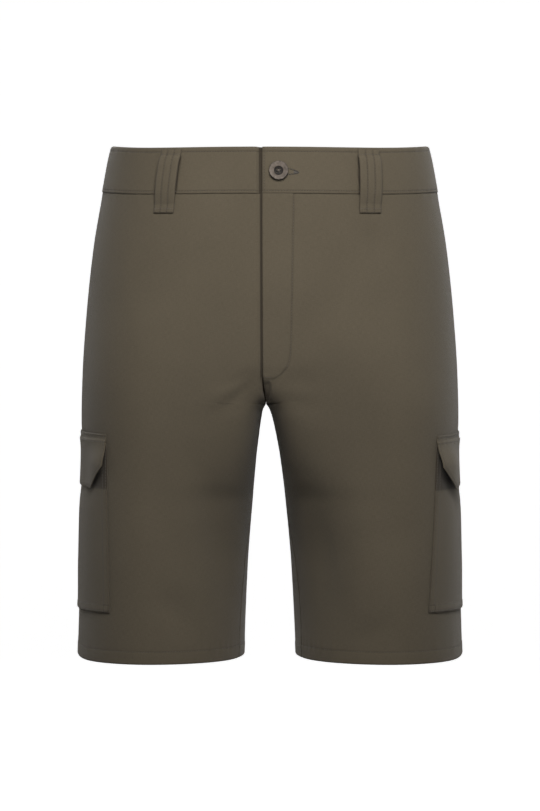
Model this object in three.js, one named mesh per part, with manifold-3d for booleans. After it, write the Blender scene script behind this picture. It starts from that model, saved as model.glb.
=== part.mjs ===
// Men's cargo shorts, filled out as when worn, as thin cloth walls.
// Millimetres, +Z up. The front faces -Y and the wearer's left is +X.
// The origin is the middle of the waistband's ring, half way up the band.
import * as THREE from 'three';
import { mergeVertices } from 'three/addons/utils/BufferGeometryUtils.js';
import Module from 'manifold-3d';

// Cloth and seams
const SEAM = 0.3; // clear space between pieces that are sewn together
const CLOTH = 1.2; // one layer of twill, pressed
const HEM_CLOTH = 2.2; // the turned hem
const BAND_CLOTH = 3; // the waistband, two layers and its stiffener
const BAND_PROUD = 1; // how far the band's face stands out from the panels
const FLAP_CLOTH = 1.2; // a pocket flap, pressed thin
const LOOP_CLOTH = 1.8; // a belt loop, folded in three

// Heights
const BAND_TOP = 24;
const BAND_BOTTOM = -23.7;
const PANEL_TOP = BAND_BOTTOM - SEAM;
const CROTCH = -236;
const HEM = -500;
const HEM_DEPTH = 13;

// Fly and front lap
const BAND_LAP = 40; // the right end of the band runs on under the left
const FLY_LAP = 12; // the right front runs on under the left
const FLY_END = -208;
const LAP_START = 7; // how far from the edge the lower layer begins to dip under it
const LAP_FULL = 1; // and where it has dipped in full
const LAP_FADE = 16; // height over which the front's lap runs out above the fly's end
const DIP_GONE = 24; // how far below the fly's end the dip is gone
const DIP_FULL = 14; // and how far below it the dip is still whole

// Inseam: the back panel comes round to the front by this arc at the hem
const INSEAM_TURN = 34;

// The hem rises a little at each side: how far, outside and inside, and the depth over which that fades
const HEM_RISE = { outer: 3.5, inner: 2, depth: 38, gone: -430 };

// Cargo pockets and flaps; mouth is how far a pocket's top edge lies below its flap's top edge
const POCKET = { top: -275, bottom: -448, back: 82, mouth: 10 };
const FLAP = { height: 56.2, overhang: 1.5, mitre: 24.5, seam: 6, lift: 0.3, backCurl: 4, backCurlFrom: 45 };
// A flap's corners curl out between these distances below its top edge
const CURL_START = 6;
const CURL_FULL = 32;
// Each side's pocket, from the side seam: the arcs to its front edge at its top and its foot, the height of
// the flap's top edge at the seam, its slope, and how far the front corner curls out between two arcs
const POCKETS = [
  {
    word: 'left', side: 1, top: 94.2, foot: 103,
    flapTop: -263.2, slope: 0.057, curl: 8, from: 31, full: 79,
  },
  {
    word: 'right', side: -1, top: 102, foot: 100.8,
    flapTop: -262.1, slope: 0.042, curl: 6.4, from: 57, full: 103,
  },
];

// Belt loops: across is where the loop's middle lies, at its top and at its foot
const LOOP = { width: 23, top: 21.8, foot: -43.3 };
const BELT_LOOPS = [
  { name: 'belt_loop_front_left', side: 1, behind: false, topAcross: 99.5, footAcross: 101.5 },
  { name: 'belt_loop_front_right', side: -1, behind: false, topAcross: -99, footAcross: -107.5 },
  { name: 'belt_loop_back_left', side: 1, behind: true, topAcross: 122, footAcross: 125 },
  { name: 'belt_loop_back_right', side: -1, behind: true, topAcross: -122, footAcross: -125 },
];
// How far a loop's inner face stands off the form, from its top end to its foot
const LOOP_STAND = [
  { height: 21.8, off: 1.35 },
  { height: 16.5, off: 1.35 },
  { height: 11.5, off: 3.6 },
  { height: 3, off: 4.9 },
  { height: -9, off: 4.9 },
  { height: -20, off: 4 },
  { height: -31, off: 1.6 },
  { height: -35.5, off: 0.35 },
  { height: -43.3, off: 0.35 },
];

// Waist button: a rim round a dished middle with four holes; bow is how far the band curves away under its rim
const BUTTON = {
  across: 8.6, height: -1, bow: 0.2, radius: 9.9, thick: 3.2, backRadius: 7.1, edgeLow: 1.45, edgeHigh: 2.3,
  rimRound: 0.9, faceDrop: 0.25, dish: 4.4, dishSlope: 1.2, dishHeight: 1.75, floor: 1.6, hole: 0.95,
  spread: 1.5,
};

// The form of one half, a row for each level: the widest point, where the curve is furthest forward and back,
// the inner point (negative where the halves still meet, so the curve is cut off at the centre), the depths to
// the front and the back, how square the curve is, and how square its inner front corner is
const LEVELS = [
  { z: 26, outer: 164.7, middle: 0, inner: -164.7, front: 110.8, back: 115.6, square: 2.3, corner: 2.3 },
  { z: 11, outer: 168.6, middle: 0, inner: -168.6, front: 112.5, back: 118.5, square: 2.3, corner: 2.3 },
  { z: -10, outer: 172.6, middle: 0, inner: -172.6, front: 115.5, back: 122, square: 2.3, corner: 2.3 },
  { z: -31, outer: 176.2, middle: 0, inner: -176.2, front: 118.5, back: 126.5, square: 2.3, corner: 2.3 },
  { z: -78, outer: 184.6, middle: 4, inner: -190, front: 124, back: 135.5, square: 2.3, corner: 2.3 },
  { z: -127, outer: 190.6, middle: 21, inner: -190, front: 127.5, back: 140.5, square: 2.3, corner: 2.3 },
  { z: -160, outer: 193.4, middle: 47, inner: -165, front: 128.2, back: 140.5, square: 2.3, corner: 2.6 },
  { z: -190, outer: 195.4, middle: 73, inner: -112, front: 127.4, back: 138, square: 2.28, corner: 3.6 },
  { z: -206, outer: 196.1, middle: 84.8, inner: -61, front: 126.2, back: 135.6, square: 2.26, corner: 4.6 },
  { z: -218, outer: 196.5, middle: 92.6, inner: -28.5, front: 125, back: 133.4, square: 2.247, corner: 5.6 },
  { z: -227, outer: 196.76, middle: 97.4, inner: -11.3, front: 123.9, back: 131.6, square: 2.237, corner: 6.4 },
  { z: -233, outer: 196.9, middle: 100.3, inner: -3, front: 123.12, back: 130.33, square: 2.23, corner: 6.8 },
  { z: CROTCH, outer: 196.96, middle: 101.6, inner: 0, front: 122.7, back: 129.67, square: 2.226, corner: 6.9 },
  { z: -238, outer: 197, middle: 102.4, inner: 1.55, front: 122.41, back: 129.22, square: 2.223, corner: 6.9 },
  { z: -242, outer: 197.06, middle: 103.8, inner: 3.6, front: 121.85, back: 128.3, square: 2.217, corner: 6.7 },
  { z: -254, outer: 197.1, middle: 107.4, inner: 6.4, front: 120.2, back: 125.5, square: 2.2, corner: 6.1 },
  { z: -285, outer: 195, middle: 114.2, inner: 11.5, front: 115.9, back: 118.8, square: 2.16, corner: 4.7 },
  { z: -316, outer: 195.7, middle: 118.8, inner: 15.1, front: 112.4, back: 113.2, square: 2.13, corner: 3.3 },
  { z: -337, outer: 197.1, middle: 121, inner: 17.1, front: 110.2, back: 110, square: 2.11, corner: 2.6 },
  { z: -400, outer: 198.7, middle: 123.4, inner: 22.4, front: 106.5, back: 102.3, square: 2.04, corner: 2.05 },
  { z: -450, outer: 200.2, middle: 123.2, inner: 24.7, front: 105, back: 98, square: 1.98, corner: 1.98 },
  { z: HEM, outer: 201.8, middle: 122, inner: 26.4, front: 104, back: 95, square: 1.93, corner: 1.93 },
];

// The centre line is a little to the wearer's right in front, as the garment hangs
const LEAN = [
  { z: 26, across: -8.1 },
  { z: FLY_END, across: -7.2 },
  { z: CROTCH, across: -4.2 },
  { z: -270, across: -2.4 },
  { z: -340, across: -0.9 },
  { z: HEM, across: 0 },
];

// The band rises to the sides and the back; the rise fades out below the hip
const RISE = { side: 9.6, back: 16, full: -31, gone: -160 };

// Largest folds, each a soft trough or ridge along a line from one point to another
// side is the leg, behind the half of it, reach its half width and proud its height (negative for a trough)
const FOLDS = [
  { side: -1, behind: false, from: [-8, -209], to: [-50, -243], reach: 9, proud: -3 },
  { side: -1, behind: false, from: [-26, -216], to: [-66, -236], reach: 12, proud: 1.6 },
  { side: 1, behind: false, from: [6, -214], to: [46, -208], reach: 8, proud: -2 },
  { side: 1, behind: false, from: [4, -231], to: [42, -233], reach: 9, proud: -2.2 },
  { side: -1, behind: false, from: [-70, -270], to: [-58, -420], reach: 34, proud: -4 },
  { side: 1, behind: false, from: [62, -262], to: [58, -420], reach: 32, proud: -4 },
  { side: 1, behind: false, from: [118, -250], to: [116, -440], reach: 32, proud: 2.4 },
  { side: -1, behind: false, from: [-126, -250], to: [-120, -440], reach: 32, proud: 2.4 },
  { side: -1, behind: true, from: [-14, -205], to: [-70, -246], reach: 12, proud: -3.4 },
  { side: 1, behind: true, from: [14, -205], to: [72, -244], reach: 12, proud: -3.2 },
  { side: -1, behind: true, from: [-64, -255], to: [-84, -430], reach: 30, proud: -3.6 },
  { side: 1, behind: true, from: [66, -258], to: [80, -430], reach: 30, proud: -3.8 },
];
const FOLD_ENDS = 0.08; // a fold's ends lie this share inside the half wave that gives its height
const SEAM_FADE = 30; // folds fade out over this depth before a side seam

// Colours as plain material values
const TWILL = { color: 0x665b4b, roughness: 0.92, metalness: 0 };
const BUTTON_RESIN = { color: 0x7d7061, roughness: 0.5, metalness: 0 };

const clamp01 = (value) => Math.min(1, Math.max(0, value));
const mix = (a, b, t) => a + (b - a) * t;
const smooth = (from, to, value) => {
  const t = clamp01((value - from) / (to - from));
  return t * t * (3 - 2 * t);
};

// A smooth curve through a table's rows that never runs past them (their heights fall from row to row)
function follow(rows, key, heightKey, height) {
  const last = rows.length - 1;
  if (height >= rows[0][heightKey]) return rows[0][key];
  if (height <= rows[last][heightKey]) return rows[last][key];
  let i = 0;
  while (height < rows[i + 1][heightKey]) i += 1;
  const slope = (n) => (rows[n + 1][key] - rows[n][key]) / (rows[n + 1][heightKey] - rows[n][heightKey]);
  const tangent = (n) => {
    if (n === 0 || n === last) return slope(Math.min(n, last - 1));
    const [a, b] = [slope(n - 1), slope(n)];
    return a * b > 0 ? (2 * a * b) / (a + b) : 0;
  };
  const step = rows[i + 1][heightKey] - rows[i][heightKey];
  const t = (height - rows[i][heightKey]) / step;
  return (
    rows[i][key] * (1 + 2 * t) * (1 - t) ** 2 +
    tangent(i) * step * t * (1 - t) ** 2 +
    rows[i + 1][key] * t * t * (3 - 2 * t) +
    tangent(i + 1) * step * t * t * (t - 1)
  );
}

const at = (key, z) => follow(LEVELS, key, 'z', z);

// One level of a half: points from the inner end, round the front to the side seam and back round behind,
// with the arc length at each
const QUARTER_STEPS = 160;
const CORNER_TURN = (3 * Math.PI) / 4;
const levels = new Map();
function level(z) {
  const name = z.toFixed(3);
  if (levels.has(name)) return levels.get(name);
  const keys = ['outer', 'middle', 'inner', 'front', 'back', 'square', 'corner'];
  const [outer, middle, inner, front, back, square, corner] = keys.map((key) => at(key, z));
  const cut = inner < 0 ? clamp01(middle / (middle - inner)) : 1;
  const endTurn = (power) => Math.acos(-(cut ** (power / 2)));
  const points = [];
  const steps = 2 * QUARTER_STEPS;
  for (let i = 0; i <= steps; i += 1) {
    const ahead = i <= QUARTER_STEPS;
    const turn = (ahead ? endTurn(corner) : endTurn(square)) * (1 - i / QUARTER_STEPS);
    const along = Math.cos(turn);
    const power = along < 0 && ahead ? corner : square;
    const deep = Math.abs(Math.sin(turn)) ** (2 / power);
    const half = along > 0 ? outer - middle : inner - middle;
    const x = middle + half * Math.abs(along) ** (2 / power);
    points.push({ x: Math.max(x, 0) + SEAM / 2, y: ahead ? -front * deep : back * deep });
  }
  const arcs = [0];
  for (let i = 1; i <= steps; i += 1) {
    arcs.push(arcs[i - 1] + Math.hypot(points[i].x - points[i - 1].x, points[i].y - points[i - 1].y));
  }
  // The arc from each inner end to where the form has turned half way from the inside to the front or back
  const cornerShare = (power) => Math.max(0, 1 - CORNER_TURN / endTurn(power));
  const length = arcs[steps];
  const corners = [
    arcs[Math.round(QUARTER_STEPS * cornerShare(corner))],
    length - arcs[steps - Math.round(QUARTER_STEPS * cornerShare(square))],
  ];
  const found = { points, arcs, seam: arcs[QUARTER_STEPS], length, outer, corners, closed: inner >= 0 };
  levels.set(name, found);
  return found;
}

// A point of a level at an arc from its inner end; past an end it goes on round a leg, or on to the other half
function onLevel(z, arc) {
  const line = level(z);
  let s = arc;
  let flip = 1;
  if (line.closed) s = (arc + line.length) % line.length;
  else if (arc < 0) [s, flip] = [-arc, -1];
  let low = 0;
  let high = line.arcs.length - 1;
  while (high - low > 1) {
    const mid = (low + high) >> 1;
    if (line.arcs[mid] > s) high = mid;
    else low = mid;
  }
  const t = (s - line.arcs[low]) / (line.arcs[high] - line.arcs[low]);
  const [a, b] = [line.points[low], line.points[high]];
  return { x: flip * mix(a.x, b.x, t), y: mix(a.y, b.y, t), outer: line.outer };
}

// The bare form: a level's point, with the rise of the band and the hem and the garment's lean, on one side
function bare(side, z, arc) {
  const p = onLevel(z, arc);
  const [front, back] = [at('front', z), at('back', z)];
  const [end, depth] = p.y < 0 ? [0, -front] : [RISE.back, back];
  const rise = mix(RISE.side, end, smooth(0, depth, p.y));
  const fade = smooth(RISE.gone, RISE.full, z);
  const lean = follow(LEAN, 'across', 'z', z) * (1 - (p.x / p.outer) ** 2) * (1 - smooth(0, back, p.y));
  const hemHeight = mix(HEM_RISE.inner, HEM_RISE.outer, clamp01(p.x / p.outer));
  const hemRise = hemHeight * Math.exp(-((p.y / HEM_RISE.depth) ** 2)) * smooth(HEM_RISE.gone, HEM, z);
  return new THREE.Vector3(side * p.x + lean, p.y, z + rise * fade + hemRise);
}

function foldAt(side, p) {
  let sum = 0;
  for (const fold of FOLDS) {
    if (fold.side !== side || fold.behind !== p.y > 0) continue;
    const [ax, az] = fold.from;
    const [bx, bz] = fold.to;
    const [dx, dz] = [bx - ax, bz - az];
    const along = clamp01(((p.x - ax) * dx + (p.z - az) * dz) / (dx ** 2 + dz ** 2));
    const off = Math.hypot(p.x - mix(ax, bx, along), p.z - mix(az, bz, along)) / fold.reach;
    const ends = Math.sin(Math.PI * mix(FOLD_ENDS, 1 - FOLD_ENDS, along));
    sum += fold.proud * ends * Math.exp(-off * off);
  }
  return sum * smooth(0, SEAM_FADE, Math.abs(p.y));
}

// The same place on another level: as far from the side seam, but for the inner end, which stays the end
const END_STRETCH = 6;
function sameOn(line, arc, other) {
  const offset = arc - line.seam;
  const reach = offset > 0 ? line.length - line.seam : line.seam;
  const there = offset > 0 ? other.length - other.seam : other.seam;
  const stretch = 1 + (there / reach - 1) * Math.min(1, Math.abs(offset) / reach) ** END_STRETCH;
  return other.seam + offset * stretch;
}

// A point of the cloth: the form with its folds, moved out along its normal, which is found from points nearby
const NEAR_ARC = 0.4;
const NEAR_HEIGHT = 0.5;
function cloth(side, z, arc, out) {
  const p = bare(side, z, arc);
  const line = level(z);
  const inward = arc > line.seam ? -NEAR_ARC : NEAR_ARC;
  const zUp = Math.min(z + NEAR_HEIGHT, z > CROTCH ? LEVELS[0].z : CROTCH);
  const zDown = Math.max(z - NEAR_HEIGHT, z > CROTCH ? CROTCH + NEAR_HEIGHT : HEM);
  const across = bare(side, z, arc + inward).sub(p).multiplyScalar(Math.sign(inward));
  const [above, below] = [zUp, zDown].map((height) => bare(side, height, sameOn(line, arc, level(height))));
  const normal = across.cross(above.sub(below)).normalize().multiplyScalar(side);
  return p.addScaledVector(normal, out + foldAt(side, p));
}

// The arc at which the form lies at a given place across, in front or behind
function arcAcross(side, z, across, behind) {
  const line = level(z);
  let [near, far] = behind ? [line.length, line.seam] : [0, line.seam];
  for (let i = 0; i < 40; i += 1) {
    const mid = (near + far) / 2;
    if (side * bare(side, z, mid).x < side * across) near = mid;
    else far = mid;
  }
  return near;
}

// A closed wall over a grid: face(i, j, inside) gives its outer and inner points
function wall(rows, columns, face) {
  const points = [];
  for (const inside of [false, true]) {
    for (let i = 0; i <= rows; i += 1) {
      for (let j = 0; j <= columns; j += 1) points.push(...face(i / rows, j / columns, inside).toArray());
    }
  }
  const layer = (rows + 1) * (columns + 1);
  const id = (i, j, inside) => (inside ? layer : 0) + i * (columns + 1) + j;
  const index = [];
  const quad = (a, b, c, d) => index.push(a, b, c, a, c, d);
  for (let i = 0; i < rows; i += 1) {
    for (let j = 0; j < columns; j += 1) {
      quad(id(i, j), id(i + 1, j), id(i + 1, j + 1), id(i, j + 1));
      quad(id(i, j, true), id(i, j + 1, true), id(i + 1, j + 1, true), id(i + 1, j, true));
    }
    quad(id(i, 0), id(i, 0, true), id(i + 1, 0, true), id(i + 1, 0));
    quad(id(i, columns), id(i + 1, columns), id(i + 1, columns, true), id(i, columns, true));
  }
  for (let j = 0; j < columns; j += 1) {
    quad(id(0, j), id(0, j + 1), id(0, j + 1, true), id(0, j, true));
    quad(id(rows, j), id(rows, j, true), id(rows, j + 1, true), id(rows, j + 1));
  }
  const geometry = new THREE.BufferGeometry();
  geometry.setAttribute('position', new THREE.Float32BufferAttribute(points, 3));
  geometry.setIndex(facingOut(points, index));
  geometry.computeVertexNormals();
  return geometry;
}

// The same triangles, turned over if they enclose a negative volume
function facingOut(points, index) {
  const corner = (n) => new THREE.Vector3(points[3 * n], points[3 * n + 1], points[3 * n + 2]);
  let volume = 0;
  for (let i = 0; i < index.length; i += 3) {
    volume += corner(index[i]).dot(corner(index[i + 1]).cross(corner(index[i + 2])));
  }
  if (volume > 0) return index;
  const turned = [];
  for (let i = 0; i < index.length; i += 3) turned.push(index[i], index[i + 2], index[i + 1]);
  return turned;
}

// Heights of a leg panel's rows, closer together where the crotch turns under and at the hem
const PANEL_ROWS = [
  PANEL_TOP, -50, -78, -106, -132, -156, -176, -190, -198, -204, -211, -218, -226, -230.5, -234, CROTCH, -238,
  -242, -247, -254, -266, -284, -310, -340, -372, -404, -436, -464, HEM + HEM_DEPTH + 2, HEM + HEM_DEPTH, HEM,
];
// Shares of a panel's inner part, from its inner end to its corner, and of the rest on to the side seam
const INNER_SHARES = [0.35, 0.65, 0.88, 1];
const OUTER_SHARES = [0.05, 0.13, 0.22, 0.31, 0.41, 0.51, 0.61, 0.71, 0.81, 0.91, 1];
const INNER_LEAST = 24; // where the corner is cut off above the crotch

const inseamTurn = (z) => (z < CROTCH ? INSEAM_TURN * smooth(CROTCH, HEM, z) : 0);
const flyLap = (z) => FLY_LAP * smooth(FLY_END, FLY_END + LAP_FADE, z);
const flyDip = (z) => (CLOTH + 2 * SEAM) * smooth(FLY_END - DIP_GONE, FLY_END - DIP_FULL, z);

// Column j of a wall: the first columns lie at the marks, the others evenly from the last mark to the end
function column(marks, columns, end, j) {
  if (j < marks.length) return marks[j];
  return mix(marks[marks.length - 1], end, (j - marks.length + 1) / (columns - marks.length + 1));
}

function panel(side, behind) {
  const rows = PANEL_ROWS.length - 1;
  const lapped = !behind && side < 0;
  const columnsAt = (z) => {
    const line = level(z);
    const turn = inseamTurn(z);
    const start = behind ? line.length + turn - SEAM : turn;
    const end = line.seam + (behind ? SEAM / 2 : -SEAM / 2);
    const way = behind ? -1 : 1;
    const inner = Math.max(line.corners[behind ? 1 : 0] + (behind ? turn : -turn), INNER_LEAST);
    const lap = flyLap(z);
    const edge = lapped ? [-lap, -lap / 2, 0, LAP_FULL, LAP_START] : [0];
    const corner = start + way * inner;
    return [
      ...edge.map((arc) => start + arc),
      ...INNER_SHARES.map((share) => start + way * inner * share),
      ...OUTER_SHARES.map((share) => mix(corner, end, share)),
    ];
  };
  return wall(rows, columnsAt(PANEL_TOP).length - 1, (down, across, inside) => {
    const z = PANEL_ROWS[Math.round(down * rows)];
    const arcs = columnsAt(z);
    const arc = arcs[Math.round(across * (arcs.length - 1))];
    const dip = lapped ? flyDip(z) * smooth(LAP_START, LAP_FULL, arc - inseamTurn(z)) : 0;
    const thick = mix(CLOTH, HEM_CLOTH, smooth(HEM + HEM_DEPTH + 2, HEM + HEM_DEPTH, z));
    return cloth(side, z, arc, inside ? -thick - dip : -dip);
  });
}

const BAND_COLUMNS = 34;
const BAND_SOFT = 0.5; // how much each face draws in at the folded top edge
function waistband(side) {
  const lapped = side < 0;
  const lap = [1, 0.75, 0.5, 0.25].map((share) => -BAND_LAP * share);
  const marks = lapped ? [...lap, LAP_FULL, LAP_START] : [0];
  return wall(4, BAND_COLUMNS, (down, across, inside) => {
    const z = mix(BAND_TOP, BAND_BOTTOM, down);
    const end = level(z).length - SEAM / 2;
    const arc = column(marks, BAND_COLUMNS, end, Math.round(across * BAND_COLUMNS));
    const dip = lapped ? (BAND_CLOTH + SEAM) * smooth(LAP_START, LAP_FULL, arc) : 0;
    const soft = BAND_SOFT * (down === 0 ? 1 : 0) * (inside ? -1 : 1);
    return cloth(side, z, arc, BAND_PROUD - dip - soft - (inside ? BAND_CLOTH : 0));
  });
}

function strap(middleAt, sideAt) {
  const rows = 14;
  return wall(rows, 4, (down, across, inside) => {
    const z = mix(LOOP.top, LOOP.foot, down);
    const arc = middleAt(z) + LOOP.width * (across - 0.5);
    const off = follow(LOOP_STAND, 'off', 'height', z);
    return sideAt(z, arc, inside ? off : off + LOOP_CLOTH);
  });
}

function beltLoop({ side, behind, topAcross, footAcross }) {
  const ends = [arcAcross(side, LOOP.top, topAcross, behind), arcAcross(side, LOOP.foot, footAcross, behind)];
  const middleAt = (z) => mix(ends[0], ends[1], (LOOP.top - z) / (LOOP.top - LOOP.foot));
  return strap(middleAt, (z, arc, out) => cloth(side, z, arc, out));
}

// The loop over the centre back seam lies on both halves
function centreBackLoop() {
  return strap(
    () => 0,
    (z, across, out) => cloth(across < 0 ? -1 : 1, z, level(z).length - Math.abs(across), out),
  );
}

// The arc from the side seam to a pocket's front edge, and the height of its flap's top edge
const pocketFront = (pocket, z) => {
  const down = (POCKET.top - z) / (POCKET.top - POCKET.bottom);
  return mix(pocket.top, pocket.foot, down);
};
const flapTop = (pocket, offset) => pocket.flapTop + pocket.slope * offset;

function cargoPocket(pocket) {
  return wall(12, 16, (down, across, inside) => {
    const topOffset = mix(-pocketFront(pocket, POCKET.top), POCKET.back, across);
    const z = mix(flapTop(pocket, topOffset) - POCKET.mouth, POCKET.bottom, down);
    const arc = level(z).seam + mix(-pocketFront(pocket, z), POCKET.back, across);
    return cloth(pocket.side, z, arc, inside ? SEAM : SEAM + CLOTH);
  });
}

// How far a flap's lower corners curl out from the pocket
function curl(pocket, offset, below) {
  const front = pocket.curl * smooth(-pocket.from, -pocket.full, offset);
  const back = FLAP.backCurl * smooth(FLAP.backCurlFrom, POCKET.back, offset);
  return (front + back) * smooth(CURL_START, CURL_FULL, below);
}

// Shares of a flap's columns that each mitre takes, so that its corners are sharp, and of its rows for
// its seam
const MITRE_SHARE = 1 / 6;
const SEAM_SHARE = 1 / 4;

function cargoFlap(pocket) {
  const [front, back] = [-pocketFront(pocket, POCKET.top) - FLAP.overhang, POCKET.back + FLAP.overhang];
  const offsetAt = (across) => {
    if (across < MITRE_SHARE) return mix(front, front + FLAP.mitre, across / MITRE_SHARE);
    if (across > 1 - MITRE_SHARE) return mix(back, back - FLAP.mitre, (1 - across) / MITRE_SHARE);
    return mix(front + FLAP.mitre, back - FLAP.mitre, (across - MITRE_SHARE) / (1 - 2 * MITRE_SHARE));
  };
  return wall(8, 18, (down, across, inside) => {
    const offset = offsetAt(across);
    const foot = FLAP.height - Math.max(0, FLAP.mitre - Math.min(offset - front, back - offset));
    const seamEnd = POCKET.mouth - 1;
    const below = down < SEAM_SHARE ? mix(0, seamEnd, down / SEAM_SHARE)
      : mix(seamEnd, foot, (down - SEAM_SHARE) / (1 - SEAM_SHARE));
    const over = (CLOTH + SEAM) * smooth(FLAP.seam - 2, POCKET.mouth - 1.5, below);
    const lift = FLAP.lift * smooth(POCKET.mouth, FLAP.height, below) + curl(pocket, offset, below);
    const z = flapTop(pocket, offset) - below;
    return cloth(pocket.side, z, level(z).seam + offset, SEAM + over + lift + (inside ? 0 : FLAP_CLOTH));
  });
}

// A four-hole button with a raised rim and a dished middle, lying on the front end of the band
async function waistButton() {
  const { radius, thick, dish, hole, spread } = BUTTON;
  const profile = [
    [0, 0], [BUTTON.backRadius, 0], [radius, BUTTON.edgeLow], [radius, BUTTON.edgeHigh],
    [radius - BUTTON.rimRound, thick], [dish + BUTTON.dishSlope, thick - BUTTON.faceDrop],
    [dish, BUTTON.dishHeight], [0, BUTTON.floor],
  ].map(([r, h]) => new THREE.Vector2(r, h));
  const disc = new THREE.LatheGeometry(profile, 36);
  const wasm = await Module();
  wasm.setup();
  const solid = (geometry) => {
    const plain = geometry.clone();
    plain.deleteAttribute('normal');
    plain.deleteAttribute('uv');
    const merged = mergeVertices(plain);
    const index = facingOut(merged.attributes.position.array, Array.from(merged.index.array));
    return new wasm.Manifold(
      new wasm.Mesh({
        numProp: 3,
        vertProperties: new Float32Array(merged.attributes.position.array),
        triVerts: new Uint32Array(index.filter((_, n) => !degenerate(index, n))),
      }),
    );
  };
  let body = solid(disc);
  for (const [sx, sz] of [[1, 1], [1, -1], [-1, 1], [-1, -1]]) {
    const bore = new THREE.CylinderGeometry(hole, hole, 3 * thick, 12);
    bore.translate(sx * spread, 0, sz * spread);
    body = body.subtract(solid(bore));
  }
  const made = body.getMesh();
  const geometry = new THREE.BufferGeometry();
  geometry.setAttribute('position', new THREE.Float32BufferAttribute(made.vertProperties, 3));
  geometry.setIndex(Array.from(made.triVerts));
  // The lathe's axis turns from +Y to the band's own outward direction
  const arc = arcAcross(1, BUTTON.height, BUTTON.across, false);
  const seat = cloth(1, BUTTON.height, arc, BAND_PROUD + SEAM + BUTTON.bow);
  const outward = seat.clone().sub(cloth(1, BUTTON.height, arc, 0)).normalize();
  geometry.applyQuaternion(new THREE.Quaternion().setFromUnitVectors(new THREE.Vector3(0, 1, 0), outward));
  geometry.translate(seat.x, seat.y, seat.z);
  geometry.computeVertexNormals();
  return geometry;
}

// True for an entry of a triangle that has two corners alike, as at a lathe's axis
function degenerate(index, n) {
  const first = n - (n % 3);
  const [a, b, c] = [index[first], index[first + 1], index[first + 2]];
  return a === b || b === c || c === a;
}

const shorts = new THREE.Group();
function add(name, geometry, finish) {
  const mesh = new THREE.Mesh(geometry, new THREE.MeshStandardMaterial(finish));
  mesh.name = name;
  shorts.add(mesh);
}

for (const [word, side] of [['left', 1], ['right', -1]]) {
  add(`front_${word}`, panel(side, false), TWILL);
  add(`back_${word}`, panel(side, true), TWILL);
  add(`waistband_${word}`, waistband(side), TWILL);
}
for (const pocket of POCKETS) {
  add(`cargo_pocket_${pocket.word}`, cargoPocket(pocket), TWILL);
  add(`cargo_flap_${pocket.word}`, cargoFlap(pocket), TWILL);
}
for (const row of BELT_LOOPS) add(row.name, beltLoop(row), TWILL);
add('belt_loop_back_centre', centreBackLoop(), TWILL);
add('button', await waistButton(), BUTTON_RESIN);

export default shorts;
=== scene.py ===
# %% [markdown]
# # Cargo shorts in olive-brown twill
#
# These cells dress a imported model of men's cargo shorts, shown filled out as if worn. The model gives the
# frame: the named pieces at their real size. Each cloth piece is made again here as a fine shell on the
# same form, with its seams, creases and stitches, and then stands for the plain solid.

# %% Load the frame
import functools
import math

import bpy
import numpy as np
from mathutils import Matrix, Vector


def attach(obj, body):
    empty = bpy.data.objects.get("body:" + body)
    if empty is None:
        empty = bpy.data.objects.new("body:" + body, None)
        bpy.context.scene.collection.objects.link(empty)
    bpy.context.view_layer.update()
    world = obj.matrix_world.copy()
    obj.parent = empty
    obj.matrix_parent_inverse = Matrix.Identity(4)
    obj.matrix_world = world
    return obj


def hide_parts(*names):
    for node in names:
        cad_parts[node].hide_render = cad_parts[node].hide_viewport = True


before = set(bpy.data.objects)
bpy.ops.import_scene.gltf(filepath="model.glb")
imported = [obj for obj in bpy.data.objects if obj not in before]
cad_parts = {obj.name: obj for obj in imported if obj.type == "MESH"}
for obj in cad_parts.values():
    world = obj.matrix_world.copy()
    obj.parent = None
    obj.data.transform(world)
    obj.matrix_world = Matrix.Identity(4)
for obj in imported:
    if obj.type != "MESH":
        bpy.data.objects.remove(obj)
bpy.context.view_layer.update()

MM = 0.001

# %% [markdown]
# ## The camera
#
# A camera could be placed by eye and nudged until it fits. Here it comes from one measure instead: one
# pixel of the photograph is 1.05 mm on the garment at its middle depth. With that, the height of the
# frame in millimetres is known, and the lens follows from the distance. The camera looks level, so
# upright seams stay upright.

# %% Camera
PHOTO_WIDTH, PHOTO_HEIGHT = 540, 811
PIXEL = 1.05  # mm on the garment at its middle depth
CAMERA_AWAY = 2850
CAMERA_HEIGHT = -237.4
SENSOR = 36.0

camera_data = bpy.data.cameras.new("camera")
camera = bpy.data.objects.new("camera", camera_data)
bpy.context.scene.collection.objects.link(camera)
camera_data.sensor_width = SENSOR
camera_data.lens = SENSOR * CAMERA_AWAY / (PHOTO_HEIGHT * PIXEL)
camera.location = (0, -CAMERA_AWAY * MM, CAMERA_HEIGHT * MM)
camera.rotation_euler = (math.pi / 2, 0, 0)
bpy.context.scene.camera = camera
print("lens", round(camera_data.lens, 1), "mm")

# %% [markdown]
# ## The form under the cloth
#
# Cloth could be draped over a body by simulation, but a photograph fixes this garment's outline closely,
# and a drape would have to be steered to it. So the form is worked out instead: at each height one half
# of the garment is a soft-cornered oval, cut off at the centre line down to the crotch and closed round
# the leg below it. A short table gives the ovals' sizes in millimetres, and a smooth curve runs through
# its rows.

# %% Sizes of the cloth and the form
SEAM = 0.3
CLOTH = 1.2
HEM_CLOTH = 2.2
BAND_CLOTH = 3
BAND_PROUD = 1
FLAP_CLOTH = 1.2
LOOP_CLOTH = 1.8
BAND_TOP, BAND_BOTTOM = 24, -23.7
CROTCH, HEM, HEM_DEPTH = -236, -500, 13
FLY_END = -208


def table(names, rows):
    """A table with named columns, as an array for each."""
    return dict(zip(names.split(), np.array(rows, float).T))


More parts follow.
